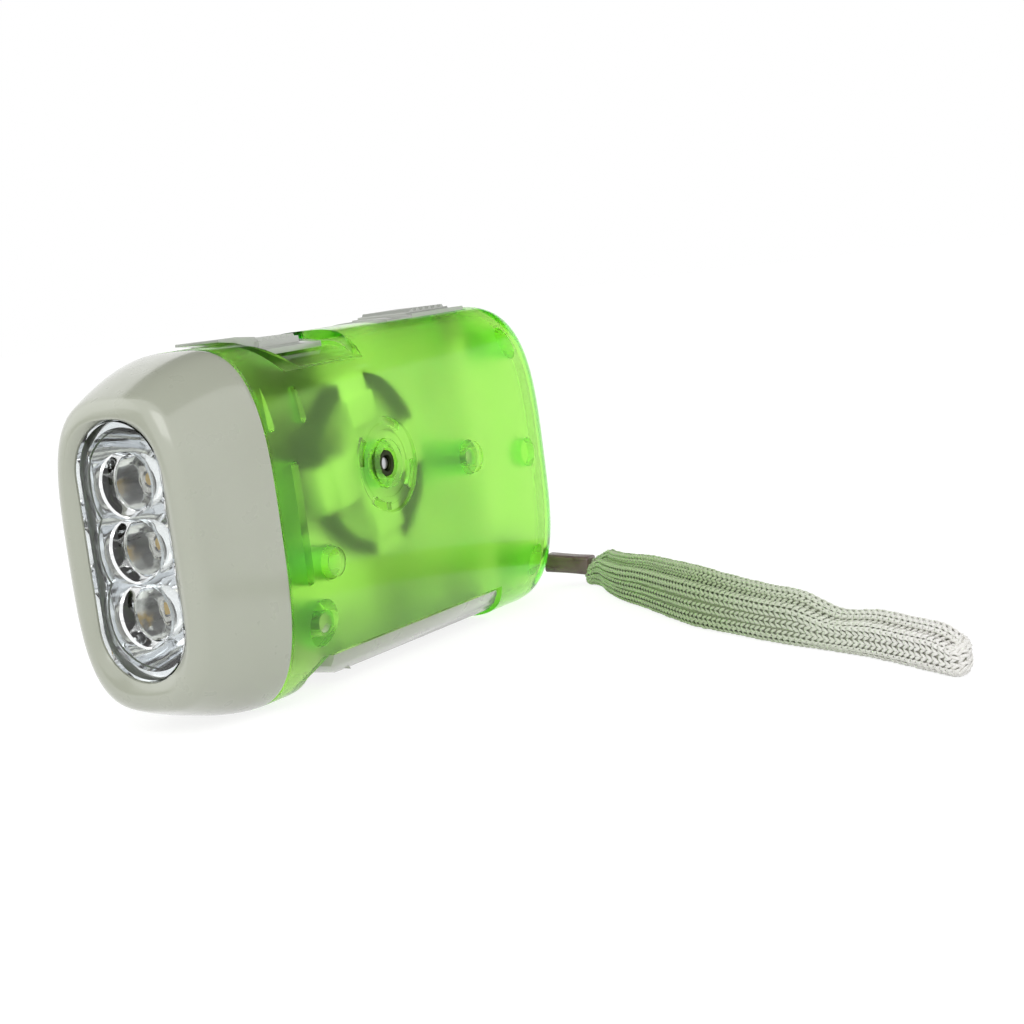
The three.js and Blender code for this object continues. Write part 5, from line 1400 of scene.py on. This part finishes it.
def hole_tools(side):
    """Everything round that is cut into one half."""
    face = side * half_width
    tools = [
        *dial_tools(side),
        hole("rotor_hole", rotor, 0, face + side * overrun, hole_radius["rotor"]),
        hole("drive_hole", drive_axis, 0, face - side * drive_cover, hole_radius["drive"]),
        hole("pivot_hole", pivot, 0, face - side * pivot_cover, hole_radius["pivot"])]
    for name, at in (("pivot", pivot), ("drive", drive_axis)):
        tools.append(turned(f"{name}_dish", pin_profile(
            face - side * dish_depth, face + side * overrun, dish_radius[name], boss_round), at))
    for name, at in screw_places.items():
        tools += screw_tools(side, name, at)
    return tools


print("dial of", len(dial_profile), "rings and", dial_slot["count"], "slots")

# %% [markdown]
# The lever's opening, the slots of the two slides and the eye for the strap's cord go right through the
# shell. Dark patches on its surface would look open from one side only. So each is a plain block or prism,
# cut from the shell, and those that hold a piece follow the size of that piece.

# %% Cuts through the shell
lever_tail = body_length - 21.5
opening = {"lead": 3.2, "ramp": 3.8, "step": 3.4, "height": 6, "slope": 4}
switch_slot = {"half": 1.8, "front": 33.4, "back": 41.4, "depth": 8}
lock_recess = {"half": 6.5, "front_room": 3.5, "back_room": 0.5, "depth": 0.9}
arm_slot = {"length": 6.5, "back_room": 0.5, "depth": 6}
strap_eye = {"half": 2.3, "low": 4.7, "high": 11.5}
lock_front, lock_end = (corner.y + body_length / 2 for corner in corners("lock_slide"))


def lever_opening():
    """The room of the squeeze lever along the underside."""
    front = pivot[0] - opening["lead"]
    low, roof = -half_height, -half_height + opening["height"]
    end = lever_tail + opening["slope"]
    outline = [(front, low - overrun), (end + overrun, low - overrun), (end, low), (lever_tail, roof),
               (front + opening["ramp"], roof), (front, low + opening["step"])]
    return prism("lever_opening", outline, "x", -half_width - overrun, half_width + overrun)


def cut_block(name, low_x, high_x, front, back, low, high):
    """A block to cut with, from its six sides."""
    return block(name, (low_x, front, low), (high_x, back, high))


def shell_cuts():
    """Everything with straight walls that is cut through the shell."""
    top = half_height + overrun
    half = switch_slot["half"]
    slot = cut_block("switch_slot", -half, half, switch_slot["front"], switch_slot["back"],
                     half_height - switch_slot["depth"], top)
    half = lock_recess["half"]
    recess = cut_block("lock_recess", -half, half, lock_front - lock_recess["front_room"],
                       lock_end + lock_recess["back_room"], half_height - lock_recess["depth"], top)
    arm_low, arm_high = corners("lock_arm")
    arm_end = arm_high.y + body_length / 2
    arm = cut_block("arm_slot", arm_low.x - gap, arm_high.x + gap, arm_end - arm_slot["length"],
                    arm_end + arm_slot["back_room"], half_height - arm_slot["depth"], top)
    half = strap_eye["half"]
    eye = cut_block("strap_eye", -half, half, body_length - tail_profile_radius, body_length + overrun,
                    -half_height + strap_eye["low"], -half_height + strap_eye["high"])
    return [lever_opening(), slot, recess, arm, eye]


print("lock recess from", round(lock_front, 2), "to", round(lock_end, 2), "mm")

# %% [markdown]
# The see-through plastic is glossy outside, where the mould was polished, and finely frosted inside, which
# blurs what lies behind it. A green surface colour would be the same everywhere. Here most of the colour
# comes from absorption on the way through, so a thin wall is pale lime, and a thick boss or an edge seen
# end on is deep green. One number for each face says which side it is on, and drives its roughness and a
# light tint.

# %% Green plastic
tint_depth = 165.0
glossy_roughness = 0.13
frost_roughness = (0.46, 0.56)
frosted_share = 0.97
green_finish = finish_of("green_housing_plastic", (222, 255, 185), 0.14, Transmission_Weight=0.98, IOR=1.24,
                         Coat_Weight=0.2, Coat_Roughness=0.12, Coat_IOR=1.5)
frost = add_node(green_finish, "Attribute", {"attribute_name": "frost"}).outputs["Fac"]
cloud = add_node(green_finish, "TexNoise", Vector=object_places(green_finish), Scale=140.0,
                 Detail=4.0).outputs["Fac"]
frost_level = add_node(green_finish, "Math", {"operation": "MULTIPLY"}, _0=frost,
                       _1=spread(green_finish, cloud, *frost_roughness))
green_rough = add_node(green_finish, "Math", {"operation": "ADD"}, _0=frost_level.outputs[0],
                       _1=glossy_roughness)
drive(green_finish, "Roughness", green_rough.outputs[0])
drive(green_finish, "Base Color", tint(green_finish, frost, (248, 255, 240), (214, 255, 156)))
drive(green_finish, "Transmission Weight", spread(green_finish, frost, 1.0, frosted_share, 0, 1))
green_volume = add_node(green_finish, "VolumeAbsorption", Color=(0.62, 0.997, 0.02, 1), Density=tint_depth)
green_finish.node_tree.links.new(
    green_volume.outputs[0], green_finish.node_tree.nodes["Material Output"].inputs["Volume"])
let_lamps_through(green_finish, (0.93, 0.99, 0.88, 1))
print("green plastic, tint", tint_depth, "per metre")

# %% [markdown]
# The two halves of the real housing meet in a fine seam all round. One whole shell with a drawn line would
# look right until it is taken apart. So both halves are made by the same steps, joining first and cutting
# next, and then each keeps what lies on its own side of the seam. That leaves one closed volume, which the
# tint needs.

# %% Housing halves
def half_housing(side):
    """One finished half of the housing."""
    shell = piece_of("green_half_left" if side > 0 else "green_half_right", shell_blank.data.copy())
    forms = combine("UNION", *inner_forms(side))
    forms = combine("INTERSECT", forms, housing_form("room", wall / 2, neck_front))
    outer_form = housing_form("outer_copy", 0, shell_front)
    pan = combine("INTERSECT", scoop_tool("scoop_pan", scoop["pan"]), outer_form)
    shell = combine("UNION", shell, forms, pan)
    shell = combine("DIFFERENCE", shell, *shell_cuts(), scoop_tool("scoop_cut", 0), *hole_tools(side))
    low_x, high_x = sorted((side * seam_gap, side * body_width))
    half_space = cut_block("half_space", low_x, high_x, -overrun, body_length + overrun,
                           -body_height, body_height)
    return combine("INTERSECT", shell, half_space)


def tree_under(piece):
    """A search tree of a piece's faces, in the frame."""
    corners_of = [vertex.co for vertex in piece.data.vertices]
    return BVHTree.FromPolygons(corners_of, [face.vertices for face in piece.data.polygons])


def mark_frost(piece, glossy_reach=1.1, floor_reach=0.02):
    """Marks each face as glossy, 0, or frosted, 1, by its distance from the outside or the scoop's floor."""
    outside = housing_form("outside", 0, shell_front, rounded=True)
    thumb = scoop_tool("thumb", 0)
    skins = [(tree_under(outside), glossy_reach * MM), (tree_under(thumb), floor_reach * MM)]
    marks = piece.data.attributes.new("frost", "FLOAT", "FACE")
    frosted = 0
    for face in piece.data.polygons:
        glossy = any(skin.find_nearest(face.center, reach)[0] is not None for skin, reach in skins)
        marks.data[face.index].value = 0.0 if glossy else 1.0
        frosted += not glossy
    for helper in (outside, thumb):
        bpy.data.objects.remove(helper)
    return frosted


for side, node in ((1, "housing_left"), (-1, "housing_right")):
    half = smooth(half_housing(side), 32)
    print(node, "frosted faces:", mark_frost(half), "of", len(half.data.polygons))
    dress(half, green_finish, node)
bpy.data.objects.remove(shell_blank)

# %% [markdown]
# The lever and the thumb slide are satin grey mouldings. They could be modelled anew, but their solids
# already hold the ridges, the side walls and the arc of teeth. So a copy of each has its loose triangles
# merged, its flat faces joined and its edges rounded by the Bevel modifier, because no moulded edge is
# knife sharp.

# %% Rounded copies of the solids
flat_angle = 0.2


def rounded_copy(node, name, width, angle=35, segments=2):
    """A merged copy of a solid with rounded edges and smooth round faces."""
    mesh = frame["nodes"][node].data.copy()
    shape = bmesh.new()
    shape.from_mesh(mesh)
    bmesh.ops.remove_doubles(shape, verts=shape.verts, dist=merge_reach * MM)
    bmesh.ops.dissolve_limit(shape, angle_limit=math.radians(flat_angle), verts=shape.verts,
                             edges=shape.edges)
    shape.to_mesh(mesh)
    shape.free()
    piece = piece_of(name, mesh)
    if width:
        edge = piece.modifiers.new("rounded_edges", "BEVEL")
        edge.width = width * MM
        edge.segments = segments
        edge.limit_method = "ANGLE"
        edge.angle_limit = math.radians(angle)
        edge.harden_normals = False
        plain(piece)
    return smooth(piece, angle)


slide_finish = moulded_plastic("ridged_slide_plastic", (190, 194, 186), (180, 184, 176), 0.4)
for node, name, finish, width in [
        ("squeeze_lever", "lever_moulding", grey_finish, 0.12),
        ("switch_slide", "switch_button", slide_finish, 0.1)]:
    dress(rounded_copy(node, name, width), finish, node)
    print(f"{node}: edges rounded by {width} mm")

# %% [markdown]
# On the real flashlight the plate of the lock follows the crowned top of the housing, and only its ridged
# pad stands up. The solid has a flat top. Bending it would bend the ridges too. So a copy keeps what lies
# inside the housing's own form, grown a little, and inside the room of the pad.

# %% Lock plate, crowned like the housing
lock_plate_proud = 0.12
lock_pad_start = 7.5
lock_button = rounded_copy("lock_slide", "lock_button", 0)
lock_room = combine(
    "UNION", housing_form("crowned_room", -lock_plate_proud, shell_front),
    block("pad_room", (-body_width, lock_front + lock_pad_start, half_height - wall),
          (body_width, lock_end, half_height + overrun)))
lock_button = smooth(combine("INTERSECT", lock_button, lock_room), 30)
dress(lock_button, slide_finish, "lock_slide")
print("lock plate:", len(lock_button.data.polygons), "faces")

# %% [markdown]
# The gears and the coil's bobbin are white nylon, which is dense and a little waxy. Plain white would look
# like paper. So a little light is let under the surface, and soft clouds break up the white.

# %% White nylon
nylon_finish = finish_of("white_nylon", (246, 247, 240), 0.45, Subsurface_Weight=0.15,
                         Subsurface_Scale=0.0006)
nylon_clouds = spread(nylon_finish, grain(nylon_finish, 0.5, 0.01, 0.5), 0, 1)
drive(nylon_finish, "Base Color", tint(nylon_finish, nylon_clouds, (240, 241, 232), (251, 252, 247)))
print("white nylon ready")

# %% [markdown]
# The flywheel is white, and dark between its four spokes near the rim, where shade lies. That dark is painted
# shade, because in the solid the wheel is one body. So the finish works out for each point how far it lies
# from the axle and from the middle of the nearest spoke, and turns dark where both are far enough.

# %% Flywheel with painted shade between its spokes
spoke_turn = 9.3
shade_ring_edges = (11.9 * MM, 12.2 * MM)
spoke_edges = (3.5 * MM, 3.7 * MM)
flywheel_finish = finish_of("flywheel_white_and_iron", (240, 241, 230), 0.42)
wheel_middle = add_node(flywheel_finish, "VectorMath", {"operation": "SUBTRACT"},
                        _0=object_places(flywheel_finish), _1=spot(0, *rotor))
wheel_flat = add_node(flywheel_finish, "VectorMath", {"operation": "MULTIPLY"},
                      _0=wheel_middle.outputs[0], _1=(0, 1, 1))
wheel_reach = add_node(flywheel_finish, "VectorMath", {"operation": "LENGTH"}, _0=wheel_flat.outputs[0])
beyond_ring = spread(flywheel_finish, wheel_reach.outputs["Value"], 0, 1, *shade_ring_edges)
spoke_frame = add_node(flywheel_finish, "VectorRotate", {"rotation_type": "X_AXIS"},
                       Vector=wheel_flat.outputs[0], Angle=-math.radians(spoke_turn))
spoke_sides = add_node(flywheel_finish, "SeparateXYZ", Vector=spoke_frame.outputs[0])
across_y, across_z = (
    add_node(flywheel_finish, "Math", {"operation": "ABSOLUTE"}, _0=spoke_sides.outputs[axis]).outputs[0]
    for axis in ("Y", "Z"))
off_spoke = add_node(flywheel_finish, "Math", {"operation": "MINIMUM"}, _0=across_y, _1=across_z)
beside_spoke = spread(flywheel_finish, off_spoke.outputs[0], 0, 1, *spoke_edges)
# Painted shade: dark beyond the ring and away from the middle of each spoke.
painted_spoke_gap_shade = add_node(flywheel_finish, "Math", {"operation": "MULTIPLY"}, _0=beyond_ring, _1=beside_spoke)
drive(flywheel_finish, "Base Color", tint(flywheel_finish, painted_spoke_gap_shade.outputs[0], (246, 247, 236), (52, 54, 50)))
grain(flywheel_finish, 0.5, 0.01, 0.5)
print("flywheel finish, spokes turned by", spoke_turn, "degrees")

# %% [markdown]
# Axles, bushes, the magnet, the iron core, the cells and the coil are turned, stacked or wound metal. One
# grey metal for all would lose them behind the frosted wall. So one recipe lays fine rings across x, and
# each metal has its own colours, roughness and distance between rings. The black mouldings come first,
# with their small grain.

# %% Black mouldings and metals
black_finish = finish_of("black_moulding", (42, 43, 43), 0.48)
black_grain = grain(black_finish, 0.25, 0.012, 0.7)
drive(black_finish, "Roughness", spread(black_finish, black_grain, 0.4, 0.58))


wave_turns = 20


def turned_metal(name, colour, shade, roughness, pitch=0.12):
    """A turned or drawn metal: fine rings across x, with a little unevenness."""
    finish = finish_of(name, colour, roughness, Metallic=1.0)
    rings = add_node(finish, "TexWave", {"bands_direction": "X"}, Vector=object_places(finish),
                     Scale=1 / (pitch * MM) / wave_turns, Distortion=2.0, Detail=3.0)
    drive(finish, "Base Color", tint(finish, rings.outputs["Fac"], shade, colour))
    drive(finish, "Roughness", spread(finish, rings.outputs["Fac"], roughness - 0.05, roughness + 0.1, 0, 1))
    bump = add_node(finish, "Bump", Height=rings.outputs["Fac"], Strength=0.3, Distance=0.01 * MM)
    drive(finish, "Normal", bump.outputs["Normal"])
    return finish


steel_finish = turned_metal("bright_steel", (205, 206, 208), (186, 187, 190), 0.25)
brass_finish = turned_metal("oiled_bronze", (74, 84, 50), (50, 58, 34), 0.4)
ferrite_finish = turned_metal("ferrite", (66, 66, 70), (50, 50, 54), 0.5, 0.6)
lamination_finish = turned_metal("steel_laminations", (150, 152, 156), (92, 94, 98), 0.4, 0.35)
cell_finish = turned_metal("nickel_cell", (214, 215, 215), (196, 197, 198), 0.22, 1.2)
copper_finish = turned_metal("copper_winding", (196, 112, 58), (140, 70, 32), 0.32, 0.2)
print("black moulding and six metals ready")

# %% [markdown]
# The circuit board is green with paler tracks, the board of the lamps is pale resin, and one lead is red.
# Real tracks would be more form than anyone can see through the plastic, so a brick pattern stands for
# them.

# %% Boards and insulation
board_finish = finish_of("circuit_board", (40, 118, 72), 0.35, Coat_Weight=0.4)
tracks = add_node(board_finish, "TexBrick", Vector=object_places(board_finish), Scale=260.0,
                  Color1=linear(40, 118, 72), Color2=linear(46, 130, 80), Mortar=linear(96, 170, 96),
                  Mortar_Size=0.03)
drive(board_finish, "Base Color", tracks.outputs["Color"])

pale_board_finish = finish_of("lamp_board_resin", (232, 234, 216), 0.4)
pale_grain = grain(pale_board_finish, 0.6, 0.01, 0.4)
drive(pale_board_finish, "Roughness", spread(pale_board_finish, pale_grain, 0.34, 0.5))

red_finish = finish_of("red_insulation", (186, 44, 34), 0.4)
red_grain = grain(red_finish, 0.4, 0.01, 0.5)
drive(red_finish, "Roughness", spread(red_finish, red_grain, 0.34, 0.5))
print("boards and insulation ready")

# %% [markdown]
# Each inner piece is a rounded copy of its solid in the finish of its real material. Modelling each one
# anew would add little, because the frosted plastic softens them and the opened lever shows only a few.
# The number beside each is how far its edges are rounded, in millimetres: least on gear teeth, none on
# wires.

# %% Dressing the inner pieces
inner_pieces = {
    "lamp_board": ("lamp_board_plate", pale_board_finish, 0.05),
    "drive_wheel": ("step_up_wheel", nylon_finish, 0.05),
    "drive_pinion": ("step_up_pinion", nylon_finish, 0.05),
    "drive_axle": ("wheel_axle", steel_finish, 0.15),
    "flywheel": ("flywheel_moulding", flywheel_finish, 0.15),
    "flywheel_spur": ("flywheel_pinion", brass_finish, 0.04),
    "rotor_axle": ("flywheel_axle", steel_finish, 0.12),
    "rotor_magnet": ("magnet_ring", ferrite_finish, 0.15),
    "rotor_bush_left": ("bush_left", brass_finish, 0.1),
    "rotor_bush_right": ("bush_right", brass_finish, 0.1),
    "stator_core": ("lamination_stack", lamination_finish, 0.08),
    "coil_bobbin": ("bobbin", nylon_finish, 0.08),
    "coil_winding": ("winding", copper_finish, 0.12),
    "lever_pin": ("hinge_pin", steel_finish, 0.2),
    "lever_spring": ("torsion_spring", steel_finish, 0),
    "switch_box": ("switch_case", black_finish, 0.08),
    "switch_wiper": ("wiper", brass_finish, 0.08),
    "lock_arm": ("lock_hook", nylon_finish, 0.12),
    "shell_screw_front": ("screw_front", steel_finish, 0.08),
    "shell_screw_tail_top": ("screw_tail_top", steel_finish, 0.08),
    "shell_screw_tail_low": ("screw_tail_low", steel_finish, 0.08),
    "battery_cell_1": ("cell_1", cell_finish, 0.25),
    "battery_cell_2": ("cell_2", cell_finish, 0.25),
    "battery_cell_3": ("cell_3", cell_finish, 0.25),
    "battery_cradle": ("cell_cradle", black_finish, 0.08),
    "circuit_board": ("board", board_finish, 0.05),
    "rectifier": ("rectifier_block", black_finish, 0.12),
    "capacitor": ("capacitor_can", black_finish, 0.2),
    "lead_red": ("red_wire", red_finish, 0),
    "lead_black": ("black_wire", black_finish, 0)}
for node, (name, finish, width) in inner_pieces.items():
    dress(rounded_copy(node, name, width), finish, node)
print(len(inner_pieces), "inner pieces dressed")
